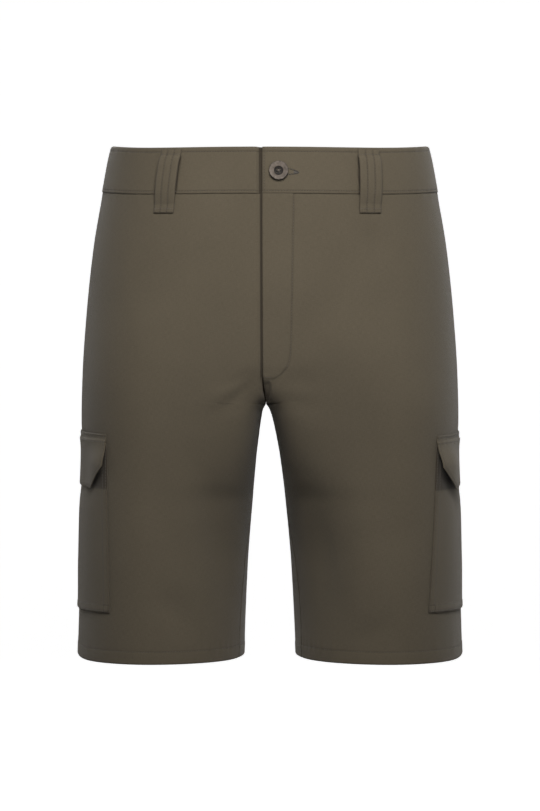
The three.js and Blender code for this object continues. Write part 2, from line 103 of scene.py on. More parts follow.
LEVELS = table("z outer middle inner front back square corner", [
    (26, 164.7, 0, -164.7, 110.8, 115.6, 2.3, 2.3),
    (11, 168.6, 0, -168.6, 112.5, 118.5, 2.3, 2.3),
    (-10, 172.6, 0, -172.6, 115.5, 122, 2.3, 2.3),
    (-31, 176.2, 0, -176.2, 118.5, 126.5, 2.3, 2.3),
    (-78, 184.6, 4, -190, 124, 135.5, 2.3, 2.3),
    (-127, 190.6, 21, -190, 127.5, 140.5, 2.3, 2.3),
    (-160, 193.4, 47, -165, 128.2, 140.5, 2.3, 2.6),
    (-190, 195.4, 73, -112, 127.4, 138, 2.28, 3.6),
    (-206, 196.1, 84.8, -61, 126.2, 135.6, 2.26, 4.6),
    (-218, 196.5, 92.6, -28.5, 125, 133.4, 2.247, 5.6),
    (-227, 196.76, 97.4, -11.3, 123.9, 131.6, 2.237, 6.4),
    (-233, 196.9, 100.3, -3, 123.12, 130.33, 2.23, 6.8),
    (CROTCH, 196.96, 101.6, 0, 122.7, 129.67, 2.226, 6.9),
    (-238, 197, 102.4, 1.55, 122.41, 129.22, 2.223, 6.9),
    (-242, 197.06, 103.8, 3.6, 121.85, 128.3, 2.217, 6.7),
    (-254, 197.1, 107.4, 6.4, 120.2, 125.5, 2.2, 6.1),
    (-285, 195, 114.2, 11.5, 115.9, 118.8, 2.16, 4.7),
    (-316, 195.7, 118.8, 15.1, 112.4, 113.2, 2.13, 3.3),
    (-337, 197.1, 121, 17.1, 110.2, 110, 2.11, 2.6),
    (-400, 198.7, 123.4, 22.4, 106.5, 102.3, 2.04, 2.05),
    (-450, 200.2, 123.2, 24.7, 105, 98, 1.98, 1.98),
    (HEM, 201.8, 122, 26.4, 104, 95, 1.93, 1.93),
])
LEAN = table("z across", [(26, -8.1), (FLY_END, -7.2), (CROTCH, -4.2), (-270, -2.4), (-340, -0.9), (HEM, 0)])
RISE_SIDE, RISE_BACK, RISE_FULL, RISE_GONE = 9.6, 16, -31, -160
HEM_RISE_OUTER, HEM_RISE_INNER, HEM_RISE_DEPTH, HEM_RISE_GONE = 3.5, 2, 38, -430
print("levels", len(LEVELS["z"]))


# %% Curves through the tables
def mix(a, b, t):
    return a + (b - a) * t


def smooth(start, stop, value):
    """0 at start and 1 at stop, with a soft curve between."""
    t = np.clip((value - start) / (stop - start), 0, 1)
    return t * t * (3 - 2 * t)


def groove(distance, width):
    """1 on a line and 0 a few widths away."""
    return np.exp(-((distance / width) ** 2))


def follow(rows, key, height):
    """A smooth curve through a table's rows, whose heights fall, that never runs past them."""
    heights, values = rows["z"], rows[key]
    if height >= heights[0]:
        return values[0]
    if height <= heights[-1]:
        return values[-1]
    slopes = np.diff(values) / np.diff(heights)
    i = int(np.searchsorted(-heights, -height)) - 1

    def tangent(n):
        if n in (0, len(slopes)):
            return slopes[min(n, len(slopes) - 1)]
        a, b = slopes[n - 1], slopes[n]
        return 2 * a * b / (a + b) if a * b > 0 else 0

    step = heights[i + 1] - heights[i]
    t = (height - heights[i]) / step
    start = values[i] * (1 + 2 * t) * (1 - t) ** 2 + tangent(i) * step * t * (1 - t) ** 2
    return start + values[i + 1] * t * t * (3 - 2 * t) + tangent(i + 1) * step * t * t * (t - 1)


QUARTER_STEPS = 400
CORNER_TURN = 0.75 * math.pi  # half way round from the inside to the front or back


@functools.lru_cache(maxsize=None)
def level(z):
    """One level of a half: x and y from the inner end, round the front to the side seam and back behind."""
    columns = [key for key in LEVELS if key != "z"]
    outer, middle, inner, front, back, square, corner = (follow(LEVELS, key, z) for key in columns)
    cut = min(max(middle / (middle - inner), 0), 1) if inner < 0 else 1
    ahead = np.arange(2 * QUARTER_STEPS + 1) <= QUARTER_STEPS
    ends = [math.acos(-(cut ** (power / 2))) for power in (corner, square)]
    turn = np.where(ahead, *ends) * (1 - np.arange(2 * QUARTER_STEPS + 1) / QUARTER_STEPS)
    along = np.cos(turn)
    power = np.where((along < 0) & ahead, corner, square)
    half = np.where(along > 0, outer - middle, inner - middle)
    x = np.maximum(middle + half * np.abs(along) ** (2 / power), 0) + SEAM / 2
    y = np.where(ahead, -front, back) * np.abs(np.sin(turn)) ** (2 / power)
    arc = np.concatenate([[0], np.cumsum(np.hypot(np.diff(x), np.diff(y)))])
    start, stop = (QUARTER_STEPS * max(0, 1 - CORNER_TURN / end) for end in ends)
    places = np.arange(len(arc))
    return {
        "x": x, "y": y, "arc": arc, "seam": arc[QUARTER_STEPS], "length": arc[-1],
        "corners": (
            np.interp(start, places, arc),
            arc[-1] - np.interp(2 * QUARTER_STEPS - stop, places, arc),
        ),
        "outer": outer, "front": front, "back": back, "closed": inner >= 0,
    }


print("hem round each leg", round(level(float(HEM))["length"]), "mm")

# %% [markdown]
# ## Creases
#
# Pressed twill that hangs filled out shows few creases, and those are long and soft: drag lines that fan
# out from the crotch, a hollow down the inside of each thigh, and slight waves near the hem. Each one is
# a row of a table: the leg, front or back, where it starts and ends, how wide it reaches and how far it
# stands proud. Listing them one by one keeps them as uneven as they are on a real pair.

# %% Creases
FOLDS = table("side behind x0 z0 x1 z1 reach proud", [
    (-1, 0, -8, -209, -50, -243, 9, -3),
    (-1, 0, -26, -216, -66, -236, 12, 1.6),
    (1, 0, 6, -214, 50, -214, 12, -1.7),
    (1, 0, 4, -231, 46, -238, 10, -1.7),
    (-1, 0, -70, -270, -58, -420, 34, -4),
    (1, 0, 62, -262, 58, -420, 32, -4),
    (1, 0, 118, -250, 116, -440, 32, 2.4),
    (-1, 0, -126, -250, -120, -440, 32, 2.4),
    (-1, 1, -14, -205, -70, -246, 12, -3.4),
    (1, 1, 14, -205, 72, -244, 12, -3.2),
    (-1, 1, -64, -255, -84, -430, 30, -3.6),
    (1, 1, 66, -258, 80, -430, 30, -3.8),
])
SMALL_CREASES = table("side behind x0 z0 x1 z1 reach proud", [
    (-1, 0, -12, -203, -52, -220, 6, -0.9),
    (-1, 0, -12, -224, -34, -246, 5, -0.9),
    (-1, 0, -62, -315, -42, -450, 15, -2.6),
    (-1, 0, -108, -424, -74, -476, 16, -2.5),
    (-1, 0, -92, -300, -84, -380, 18, 1.5),
    (-1, 0, -150, -60, -138, -180, 16, 0.8),
    (-1, 0, -34, -120, -74, -196, 20, -0.9),
    (-1, 0, -96, -150, -128, -226, 18, -0.8),
    (1, 0, 70, -98, 34, -188, 18, -2.6),
    (1, 0, 104, -50, 112, -90, 13, -1.9),
    (1, 0, 34, -315, 64, -455, 16, -2.7),
    (1, 0, 44, -360, 42, -485, 28, -3.2),
    (1, 0, 94, -330, 88, -440, 16, 1.4),
    (1, 0, 112, -370, 110, -485, 32, 2.2),
    (1, 0, 126, -452, 80, -484, 13, -1.4),
    (1, 0, 150, -60, 142, -170, 14, 0.8),
    (-1, 1, -120, -150, -60, -214, 16, -1.2),
    (1, 1, 116, -140, 56, -210, 15, -1.3),
    (-1, 1, -30, -232, -62, -276, 9, -1.3),
    (1, 1, 26, -230, 66, -272, 9, -1.1),
    (-1, 1, -40, -70, -96, -120, 18, -0.9),
    (1, 1, 36, -84, 88, -128, 17, -0.9),
    (-1, 1, -130, -300, -112, -450, 18, 1.2),
    (1, 1, 126, -310, 116, -460, 20, 1.1),
    (-1, 1, -100, -440, -60, -482, 13, -1.1),
    (1, 1, 56, -446, 96, -480, 14, -1),
])
CREASES = {key: np.concatenate([FOLDS[key], SMALL_CREASES[key]]) for key in FOLDS}
CREASE_ENDS = 0.08
FADE_FROM_SEAM = 30  # creases die away towards the side seams


def creases(side, place):
    """How far the creases move points of one side in or out."""
    total = np.zeros(len(place))
    for row in range(len(CREASES["side"])):
        of_side, behind, x0, z0, x1, z1, reach, proud = (CREASES[key][row] for key in CREASES)
        if of_side != side:
            continue
        dx, dz = x1 - x0, z1 - z0
        along = np.clip(((place[:, 0] - x0) * dx + (place[:, 2] - z0) * dz) / (dx * dx + dz * dz), 0, 1)
        away = np.hypot(place[:, 0] - mix(x0, x1, along), place[:, 2] - mix(z0, z1, along)) / reach
        ends = np.sin(math.pi * mix(CREASE_ENDS, 1 - CREASE_ENDS, along))
        height = proud * ends * np.exp(-away * away)
        total += np.where((place[:, 1] > 0) == bool(behind), height, 0)
    return total * smooth(0, FADE_FROM_SEAM, np.abs(place[:, 1]))


print("creases", len(CREASES["side"]))


# %% Points of the cloth
def on_level(z, arc):
    """Points of a level at arcs from its inner end. Past it they go on round the leg, or on the other half."""
    line = level(z)
    reach = np.mod(arc, line["length"]) if line["closed"] else np.abs(arc)
    flip = 1 if line["closed"] else np.where(arc < 0, -1, 1)
    return flip * np.interp(reach, line["arc"], line["x"]), np.interp(reach, line["arc"], line["y"])


def bare(side, z, arc):
    """The form without creases: a level with the rise of the band and the hem and the centre line's lean."""
    line = level(z)
    x, y = on_level(z, arc)
    in_front = mix(RISE_SIDE, 0, smooth(0, -line["front"], y))
    rise = np.where(y < 0, in_front, mix(RISE_SIDE, RISE_BACK, smooth(0, line["back"], y)))
    lean = follow(LEAN, "across", z) * (1 - (x / line["outer"]) ** 2) * (1 - smooth(0, line["back"], y))
    hem_rise = mix(HEM_RISE_INNER, HEM_RISE_OUTER, np.clip(x / line["outer"], 0, 1))
    hem_rise = hem_rise * groove(y, HEM_RISE_DEPTH) * smooth(HEM_RISE_GONE, HEM, z)
    height = z + rise * smooth(RISE_GONE, RISE_FULL, z) + hem_rise
    return np.stack([side * x + lean, y, height], axis=1)


NUDGE_ARC, NUDGE_HEIGHT = 0.4, 0.5
END_STRETCH = 6


def same_on(line, arc, other):
    """The same place on another level: as far from the side seam, while the inner end stays the end."""
    offset = arc - line["seam"]
    reach = np.where(offset > 0, line["length"] - line["seam"], line["seam"])
    there = np.where(offset > 0, other["length"] - other["seam"], other["seam"])
    stretch = 1 + (there / reach - 1) * np.clip(np.abs(offset) / reach, 0, 1) ** END_STRETCH
    return other["seam"] + offset * stretch


def cloth_row(side, z, arc, out):
    """Points of the cloth at one level, moved out along the form's normal, and the normals."""
    line = level(z)
    place = bare(side, z, arc)
    nudge = np.where(arc > line["seam"], -NUDGE_ARC, NUDGE_ARC)
    across = (bare(side, z, arc + nudge) - place) * np.sign(nudge)[:, None]
    if z > CROTCH:
        heights = min(z + NUDGE_HEIGHT, LEVELS["z"][0]), max(z - NUDGE_HEIGHT, CROTCH + NUDGE_HEIGHT)
    else:
        heights = min(z + NUDGE_HEIGHT, CROTCH), max(z - NUDGE_HEIGHT, HEM)
    above, below = (bare(side, height, same_on(line, arc, level(height))) for height in heights)
    normal = np.cross(across, above - below)
    normal *= side / np.maximum(np.linalg.norm(normal, axis=1, keepdims=True), 1e-9)
    return place + normal * (out + creases(side, place))[:, None], normal


def cloth(side, z, arc, out):
    """Points and normals of the cloth for arrays of heights, arcs and distances out."""
    z, arc, out = (np.asarray(v, float) for v in np.broadcast_arrays(z, arc, out))
    shape = z.shape
    z, arc, out = np.round(z.ravel(), 3), arc.ravel(), out.ravel()
    place, normal = np.empty((len(z), 3)), np.empty((len(z), 3))
    order = np.argsort(z, kind="stable")
    breaks = np.flatnonzero(np.diff(z[order])) + 1
    for rows in np.split(order, breaks):
        place[rows], normal[rows] = cloth_row(side, float(z[rows[0]]), arc[rows], out[rows])
    return place.reshape(*shape, 3), normal.reshape(*shape, 3)


def arc_across(side, z, across, behind):
    """The arc at which the form lies at a given place across."""
    line = level(z)
    arcs = np.linspace(line["seam"], line["length"] if behind else 0, 2000)
    return float(arcs[np.argmin(np.abs(bare(side, z, arcs)[:, 0] - across))])


sample = cloth(1, [0.0], [0.0], 0)[0][0]
print("centre front at the waist", [round(float(v), 1) for v in sample])

# %% [markdown]
# ## A small language for materials
#
# Node trees built by hand take many lines that say little. This class wraps one output socket, so that
# sums and products of masks read as arithmetic, and one method adds any other node with its settings and
# its inputs.


# %% Sockets as numbers
class Finish:
    """A material under construction; add() puts in a node and returns its first output, wrapped."""

    def __init__(self, name):
        self.material = bpy.data.materials.new(name)
        self.material.use_nodes = True
        self.tree = self.material.node_tree
        self.tree.nodes.clear()
        self.shader = self.tree.nodes.new("ShaderNodeBsdfPrincipled")
        output = self.tree.nodes.new("ShaderNodeOutputMaterial")
        self.tree.links.new(self.shader.outputs[0], output.inputs["Surface"])

    def add(self, kind, settings=None, output=0, **values):
        node = self.tree.nodes.new(kind)
        for key, value in (settings or {}).items():
            setattr(node, key, value)
        for key, value in values.items():
            self.set(node.inputs[int(key[1:]) if key[1:].isdigit() else key.replace("_", " ")], value)
        return Wire(self, node.outputs[output])

    def set(self, socket, value):
        if isinstance(value, Wire):
            self.tree.links.new(value.socket, socket)
        else:
            socket.default_value = value

    def shade(self, **values):
        for key, value in values.items():
            self.set(self.shader.inputs[key.replace("_", " ")], value)
        return self.material


class Wire:
    """An output socket that can be used in arithmetic."""

    def __init__(self, finish, socket):
        self.finish, self.socket = finish, socket

    def math(self, operation, *others):
        values = {f"i{n}": value for n, value in enumerate((self, *others))}
        return self.finish.add("ShaderNodeMath", {"operation": operation}, **values)

    def __add__(self, other):
        return self.math("ADD", other)

    def __mul__(self, other):
        return self.math("MULTIPLY", other)

    def __sub__(self, other):
        return self.math("SUBTRACT", other)

    def __rsub__(self, other):
        return (self * -1) + other

    __radd__, __rmul__ = __add__, __mul__

    def blend(self, low, high):
        """Two colours mixed by this value."""
        settings = {"data_type": "RGBA", "clamp_factor": True}
        return self.finish.add("ShaderNodeMix", settings, output=2, i0=self, i6=low, i7=high)


def linear(red, green, blue):
    """A colour given as it looks on a screen, from 0 to 255, as light."""
    parts = [v / 255 for v in (red, green, blue)]
    return (*[((v + 0.055) / 1.055) ** 2.4 if v > 0.04045 else v / 12.92 for v in parts], 1)


print("olive-brown as light", [round(v, 3) for v in linear(94, 85, 71)])

# %% [markdown]
# ## Twill
#
# The cloth is a matte cotton and polyester twill: warp and weft of slightly different browns, steep fine
# diagonals, and a dry bloom of fibre ends that lightens it where it turns away. The weave follows each
# piece's own grain, so it is drawn in a map of the cut piece, in metres, and not in the garment's height
# and width. Warp and weft are two stretched noises, the diagonal is a sine wave in the bump, and sheen
# gives the bloom.

# %% Twill finish
TWILL_PITCH = 0.00105  # metres from one diagonal to the next
TWILL_STEEP = 1.6  # how far a diagonal climbs for its width
TURN = 2 * math.pi
PAINTED_SHADE_DEPTH = 0.85  # how much of the shade colour the deepest seams take


def twill(name, light, dark, shade):
    finish = Finish(name)
    place = finish.add("ShaderNodeUVMap", {"uv_map": "cut"})
    across = finish.add("ShaderNodeSeparateXYZ", i0=place)
    up = Wire(finish, across.socket.node.outputs[1])
    warp = finish.add("ShaderNodeMapping", Vector=place, Scale=(5200, 420, 1))
    weft = finish.add("ShaderNodeMapping", Vector=place, Scale=(420, 5200, 1))
    threads = [
        finish.add("ShaderNodeTexNoise", {"noise_dimensions": "2D"}, Vector=v, Scale=0.5, Detail=1.0)
        for v in (warp, weft)
    ]
    body = finish.add("ShaderNodeTexCoord", output=3)
    wash = finish.add("ShaderNodeTexNoise", Vector=body, Scale=9.0, Detail=3.0, Roughness=0.55)
    edge = finish.add("ShaderNodeAttribute", {"attribute_name": "edge"}, output=2)
    diagonal = ((across * TWILL_STEEP + up) * (TURN / TWILL_PITCH)).math("SINE")
    grain = threads[0] * 0.5 + threads[1] * 0.5
    tone = (grain - 0.5) * 0.9 + (wash - 0.5) * 0.5 + diagonal * 0.05 + 0.5
    # Where the 'edge' attribute is high, the colour goes towards the shade colour: painted shade in seams,
    # stitch rows, hollows and laps, and under loops and flaps.
    colour = (edge * PAINTED_SHADE_DEPTH).blend(tone.blend(dark, light), shade)
    height = diagonal * 0.5 + grain
    bump = finish.add("ShaderNodeBump", Height=height, Distance=0.00012, Strength=0.55)
    return finish.shade(
        Base_Color=colour, Roughness=0.9 - edge * 0.05, Normal=bump,
        Sheen_Weight=0.1, Sheen_Roughness=0.5, Specular_IOR_Level=0.2,
    )


twill_cloth = twill("olive twill", linear(100, 91, 75), linear(76, 68, 54), linear(44, 37, 28))
print("twill", len(twill_cloth.node_tree.nodes), "nodes")

# %% [markdown]
# ## Thread, button and shadow finishes
#
# Sewing thread is a two-ply polyester in the cloth's own colour, a little smoother and darker. Its twist
# is a wave across each stitch. The button is cast resin: taupe, faintly cloudy, with a satin rim. Its dish
# and the groove round its rim are painted dark, near black in the dish, as their shade.


# %% Thread and resin
def thread_finish(name, light, dark):
    finish = Finish(name)
    body = finish.add("ShaderNodeTexCoord", output=3)
    cloud = finish.add("ShaderNodeTexNoise", Vector=body, Scale=700.0, Detail=2.0)
    twist = finish.add(
        "ShaderNodeTexWave", {"bands_direction": "DIAGONAL"}, output=1, Vector=body, Scale=900.0
    )
    bump = finish.add("ShaderNodeBump", Height=twist, Distance=0.00005, Strength=0.5)
    return finish.shade(
        Base_Color=cloud.blend(dark, light), Roughness=0.62 + cloud * 0.1, Normal=bump, Sheen_Weight=0.15
    )


def resin_finish(name, light, dark):
    finish = Finish(name)
    body = finish.add("ShaderNodeTexCoord", output=3)
    cloud = finish.add("ShaderNodeTexNoise", Vector=body, Scale=260.0, Detail=4.0, Distortion=0.6)
    edge = finish.add("ShaderNodeAttribute", {"attribute_name": "edge"}, output=2)
    fine = finish.add("ShaderNodeTexNoise", Vector=body, Scale=2600.0, Detail=2.0)
    bump = finish.add("ShaderNodeBump", Height=fine, Distance=0.00003, Strength=0.4)
    # The 'edge' attribute darkens the dish and the groove round the rim: painted shade.
    tone = cloud - edge * 0.9
    paint = tone.blend(dark, light)
    return finish.shade(
        Base_Color=paint, Roughness=0.45 + fine * 0.14, Normal=bump, Specular_IOR_Level=0.15
    )


twill_thread = thread_finish("twill thread", linear(84, 75, 61), linear(58, 50, 39))
dark_thread_and_slit_shade = thread_finish("dark thread", linear(54, 47, 36), linear(36, 30, 22))
pale_thread = thread_finish("pale thread", linear(104, 93, 82), linear(70, 61, 52))
button_resin = resin_finish("taupe resin", linear(142, 130, 119), linear(24, 19, 16))
print("finishes", [m.name for m in (twill_thread, dark_thread_and_slit_shade, pale_thread, button_resin)])

# %% [markdown]
# ## Walls of cloth
#
# A cloth piece could be one sheet thickened by a modifier. Here both faces are laid out directly, because
# the thickness changes: a hem is doubled, a fold has a round edge, a seam sinks. A grid of rows down and
# columns across gives the outer face, a second grid the inner one, and a rim joins them. Each point also
# keeps its place in the cut piece, for the weave, and a painted shade: how far its colour is darkened in
# seams, stitch rows, hollows and laps and under loops and flaps, in place of their shadow.


# %% Wall of cloth
def mesh_object(name, points, faces, material, smooth_faces=True):
    mesh = bpy.data.meshes.new(name)
    mesh.from_pydata(np.asarray(points) * MM, [], np.asarray(faces).tolist())
    mesh.materials.append(material)
    mesh.polygons.foreach_set("use_smooth", [smooth_faces] * len(mesh.polygons))
    obj = bpy.data.objects.new(name, mesh)
    bpy.context.scene.collection.objects.link(obj)
    return obj


def wall(name, outer, inner, cut, edge, material):
    """A closed shell from two grids of points; cut is each point's place in the cut piece, in mm."""
    rows, columns = outer.shape[:2]
    count = rows * columns
    index = np.arange(count).reshape(rows, columns)
    quads = np.stack([index[:-1, :-1], index[1:, :-1], index[1:, 1:], index[:-1, 1:]], axis=-1).reshape(-1, 4)
    rim = np.concatenate([index[0, :-1], index[:-1, -1], index[-1, :0:-1], index[:0:-1, 0]])
    after = np.roll(rim, -1)
    band = np.stack([rim, after, after + count, rim + count], axis=-1)
    faces = np.concatenate([quads, quads[:, ::-1] + count, band])
    points = np.concatenate([outer.reshape(-1, 3), inner.reshape(-1, 3)])
    corners = points[faces]
    cross = np.cross(corners[:, 1] - corners[:, 0], corners[:, 2] - corners[:, 0])
    if (corners[:, 0] * cross).sum() < 0:
        faces = faces[:, ::-1]
    obj = mesh_object(name, points, faces, material)
    places = np.concatenate([cut.reshape(-1, 2)] * 2) * MM
    layer = obj.data.uv_layers.new(name="cut")
    layer.data.foreach_set("uv", places[faces].astype(np.float32).ravel())
    # The 'edge' attribute holds each outer point's painted shade; the inner face gets none.
    attribute = obj.data.attributes.new("edge", "FLOAT", "POINT")
    attribute.data.foreach_set("value", np.append(edge.ravel(), np.zeros(count)).astype(np.float32))
    return obj


def steps(start, stop, coarse, close=()):
    """Places from start to stop, coarse apart, but nearer within the close stretches (from, to, step)."""
    sign = 1 if stop > start else -1
    places = [float(start)]
    while sign * (stop - places[-1]) > 1e-6:
        here = places[-1]
        step = min([coarse] + [fine for low, high, fine in close if low - fine <= here <= high + fine])
        places.append(here + sign * min(step, abs(stop - here)))
    return np.array(places)


def ripple(along, seed):
    """An uneven wave from -1 to 1, for the puckers that sewing leaves."""
    waves = ((17.3, 1.7), (9.1, 2.9), (29.7, 0.6))
    total = sum(np.sin(along * TURN / length + seed * turn) for length, turn in waves)
    return total / len(waves)


print("a wall has two faces and a rim")

# %% [markdown]
# ## Leg panels
#
# Four panels make the legs and the seat. They meet at the side seams, the inseams and the centre seams,
# where the cloth rolls inward into the seam. In front, the right panel runs on under the left one, as a
# fly does, and the left panel stands a little higher over the fly's turning, which ends in a soft ridge
# beside its stitching.

# %% Leg panels
SEWN = 0.02  # sewn edges all but touch
PANEL_TOP = BAND_BOTTOM - SEWN
INSEAM_TURN = 34
FLY_LAP, LAP_START, LAP_FULL, LAP_FADE = 12, 7, 1, 16
DIP_GONE, DIP_FULL = 24, 14  # below the fly's end
FLY_ROW = table("z arc", [  # the fly's stitch row, down and then in to the fly's end
    (-24, 31.6), (-110, 29.8), (-176, 28.2), (-186, 27.6),
    (-193, 26.5), (-199, 24.3), (-204, 21), (-208, 16.5),
    (-211, 11.5), (-212.5, 6),
])
FLY_PROUD, HOLLOW_DEPTH = 0.8, 2.2
ROLL, ROLL_WIDTH = 0.5, 1.1
EDGE_STEPS = np.array([0, 0.4, 0.8, 1.3, 1.9, 2.6, 3.4, 4.3, 5.2, 6.1, 7, 8.2, 9.8, 11.8])
FLY_STEPS = np.concatenate([EDGE_STEPS[:-2], np.arange(9, 36, 0.9)])
INNER_LEAST = 42  # where the corner is cut off above the crotch
INNER_SHARES, OUTER_SHARES = np.linspace(0, 1, 22)[1:] ** 0.8, np.linspace(0, 1, 70)[1:-1] ** 1.2
PANEL_Z = steps(PANEL_TOP, HEM, 2.9, [
    (PANEL_TOP - 5, PANEL_TOP, 0.6), (-246, -196, 0.9), (HEM, HEM + HEM_DEPTH + 4, 0.6),
])


def inseam_turn(z):
    return np.where(z < CROTCH, INSEAM_TURN * smooth(CROTCH, HEM, z), 0)


def fly_lap(z):
    return FLY_LAP * smooth(FLY_END, FLY_END + LAP_FADE, z)


def fly_dip(z):
    return (CLOTH + 2 * SEAM) * smooth(FLY_END - DIP_GONE, FLY_END - DIP_FULL, z)


def hem_relief(z, arc, seed):
    """The stitch row's dent above the turned hem and the slight waves of the hem."""
    row = z - (HEM + HEM_DEPTH)
    dent = -0.4 * groove(row, 0.8)
    step = -0.35 * smooth(0, 1.2, row) * smooth(-400, HEM + 15, z)
    wave = 0.35 * ripple(arc, seed) * groove(row - 2, 8)
    return dent + step + wave


def fly_row_arc(z):
    return np.interp(-z, -FLY_ROW["z"], FLY_ROW["arc"])


def fly_relief(z, arc):
    """The left front over the fly: a raised turning whose edge shows as a soft ridge inside its stitches."""
    row = arc - fly_row_arc(z)
    reach = smooth(FLY_ROW["z"][-1] - 1, FLY_ROW["z"][-1] + 4, z)
    puckers = 0.28 * ripple(z, 2.2) * groove(row, 4.5)
    return (FLY_PROUD * smooth(0.4, -2.8, row) - 0.45 * groove(row, 0.8) + puckers) * reach


def crotch_hollow(z, arc):
    """The left front folds in beside the centre seam, between the fly's end and the crotch."""
    return smooth(8.6, 5.6, arc) * smooth(FLY_END - 4, FLY_END - 9, z) * smooth(CROTCH - 1, CROTCH + 3, z)


def panel(side, behind, seed):
    lapped = not behind and side < 0
    lines = [level(float(np.round(z, 3))) for z in PANEL_Z]
    seam = np.array([line["seam"] for line in lines])[:, None]
    length = np.array([line["length"] for line in lines])[:, None]
    z = PANEL_Z[:, None]
    turn = inseam_turn(z)
    if behind:
        start, end, sign = length + turn - SEWN, seam + SEWN / 2, -1
    else:
        start, end, sign = turn, seam - SEWN / 2, 1
    near = EDGE_STEPS if behind or lapped else FLY_STEPS
    marks = start + sign * near[None, :]
    corners = np.array([line["corners"][int(behind)] for line in lines])[:, None]
    corner = start + sign * np.maximum(corners + (turn if behind else -turn), INNER_LEAST)
    tail = end - sign * EDGE_STEPS[::-1][None, :]
    inner = mix(marks[:, -1:], corner, INNER_SHARES[None, :])
    arc = np.concatenate([marks, inner, mix(corner, tail[:, :1], OUTER_SHARES[None, :]), tail], axis=1)
    if lapped:
        arc = np.concatenate([start - fly_lap(z) * np.array([[1, 0.66, 0.33]]), arc], axis=1)
    z = np.broadcast_to(z, arc.shape)
    from_inner, from_outer = sign * (arc - start), sign * (end - arc)
    out = -ROLL * groove(from_outer, ROLL_WIDTH) - 0.25 * groove(z - PANEL_TOP, 0.8)
    below_fly = smooth(FLY_END + 2, FLY_END - 3, z) if not behind else 1
    out = out - ROLL * groove(from_inner, ROLL_WIDTH) * below_fly
    out = out + 0.22 * ripple(z, seed) * groove(from_outer, 6)
    out = out + 0.2 * ripple(z, seed + 2) * groove(from_inner, 7)
    out = out + 0.3 * ripple(arc, seed + 4) * groove(z - PANEL_TOP, 9) + hem_relief(z, arc, seed)
    # Painted shade: the seams, the top, the hem's stitch row and the hem's edge are darkened in colour.
    dark = np.maximum.reduce([
        0.6 * groove(from_outer, 0.9), 0.7 * groove(from_inner, 0.9) * below_fly,
        0.4 * groove(z - PANEL_TOP, 0.7),
        0.5 * groove(z - (HEM + HEM_DEPTH), 0.7), 0.3 * groove(z - HEM, 0.7),
    ])
    dip = 0
    if lapped:
        dip = fly_dip(z) * smooth(LAP_START, LAP_FULL, arc - turn)
        # Painted shadow of the left front on the right one: darkened under its edge and in a strip beside it,
        # above the fly's end.
        dark = np.maximum(dark, smooth(2.7, 1.7, from_inner) * smooth(FLY_END - 8, FLY_END, z))
    elif not behind:
        out = out + fly_relief(z, arc) - 0.45 * groove(from_inner, 0.6) * (1 - below_fly)
        # Painted shade along the fly's stitch row and in the hollow beside the centre seam.
        row = 0.5 * groove(arc - fly_row_arc(z), 0.7) * smooth(-214, -209, z)
        dark = np.maximum.reduce([dark, row, 0.35 * crotch_hollow(z, arc)])
    thick = mix(CLOTH, HEM_CLOTH, smooth(HEM + HEM_DEPTH + 2, HEM + HEM_DEPTH, z))
    hem_round = 0.7 * groove(z - HEM, 0.8)
    outer_face, _ = cloth(side, z, arc, out - dip - hem_round)
    inner_face, _ = cloth(side, z, arc, -thick - dip + hem_round)
    if side > 0 and not behind:
        for face in (outer_face, inner_face):
            face[..., 1] += HOLLOW_DEPTH * crotch_hollow(z, arc)
    cut = np.stack([sign * (arc - seam), z], axis=-1)
    name = f"cloth_{'back' if behind else 'front'}_{'left' if side > 0 else 'right'}"
    return wall(name, outer_face, inner_face, cut, dark, twill_cloth)


panels = {
    "front_left": panel(1, False, 0.3),
    "front_right": panel(-1, False, 1.1),
    "back_left": panel(1, True, 2.4),
    "back_right": panel(-1, True, 3.7),
}
print("panel points", {name: len(obj.data.vertices) for name, obj in panels.items()})

# %% [markdown]
# ## Where the belt loops lie
#
# The loops are placed before the band is made, because the band under a loop is painted darker there as
# the loop's shade. It shows as a dark slit beside each loop. A loop's middle runs between two places
# across, one at its top end and one at its foot, so it may slant.

# %% Places of the belt loops
LOOP_WIDTH, LOOP_TOP, LOOP_FOOT = 23, 21.8, -43.3
LOOP_STAND = table("z off", [
    (21.8, 1.35), (16.5, 1.35), (11.5, 3.6), (3, 4.9), (-9, 4.9), (-20, 4), (-31, 1.6), (-35.5, 0.35),
    (-43.3, 0.35),
])
LOOP_ROW = LOOP_WIDTH / 6
LOOP_TACKED = 5.5  # from the loop's top to its bar of stitches
BELT_LOOPS = {
    "belt_loop_front_left": (1, False, 99.5, 101.5),
    "belt_loop_front_right": (-1, False, -99, -107.5),
    "belt_loop_back_left": (1, True, 122, 125),
    "belt_loop_back_right": (-1, True, -122, -125),
    "belt_loop_back_centre": (0, True, 0, 0),
}


def loop_middle(name, z):
    """The arc of a loop's middle at a height; the one at the centre back lies at the end of the level."""
    side, behind, top, foot = BELT_LOOPS[name]
    ends = [arc_across(side, float(LOOP_TOP), top, behind), arc_across(side, LOOP_FOOT, foot, behind)]
    return mix(*ends, (LOOP_TOP - z) / (LOOP_TOP - LOOP_FOOT))


def painted_loop_shade(side, z, arc, length):
    """1 on the band where a loop stands over it, and 0 elsewhere: where the band is painted dark as the loop's
    shade.
    """
    total = 0
    for name, (loop_side, *_) in BELT_LOOPS.items():
        if loop_side in (side, 0):
            away = np.abs(arc - (loop_middle(name, z) if loop_side else length))
            total = total + smooth(LOOP_WIDTH / 2 + 0.9, LOOP_WIDTH / 2 - 0.4, away)
    return total * smooth(LOOP_TOP - LOOP_TACKED, LOOP_TOP - LOOP_TACKED - 3, z)


print("loops are", LOOP_WIDTH, "mm wide")

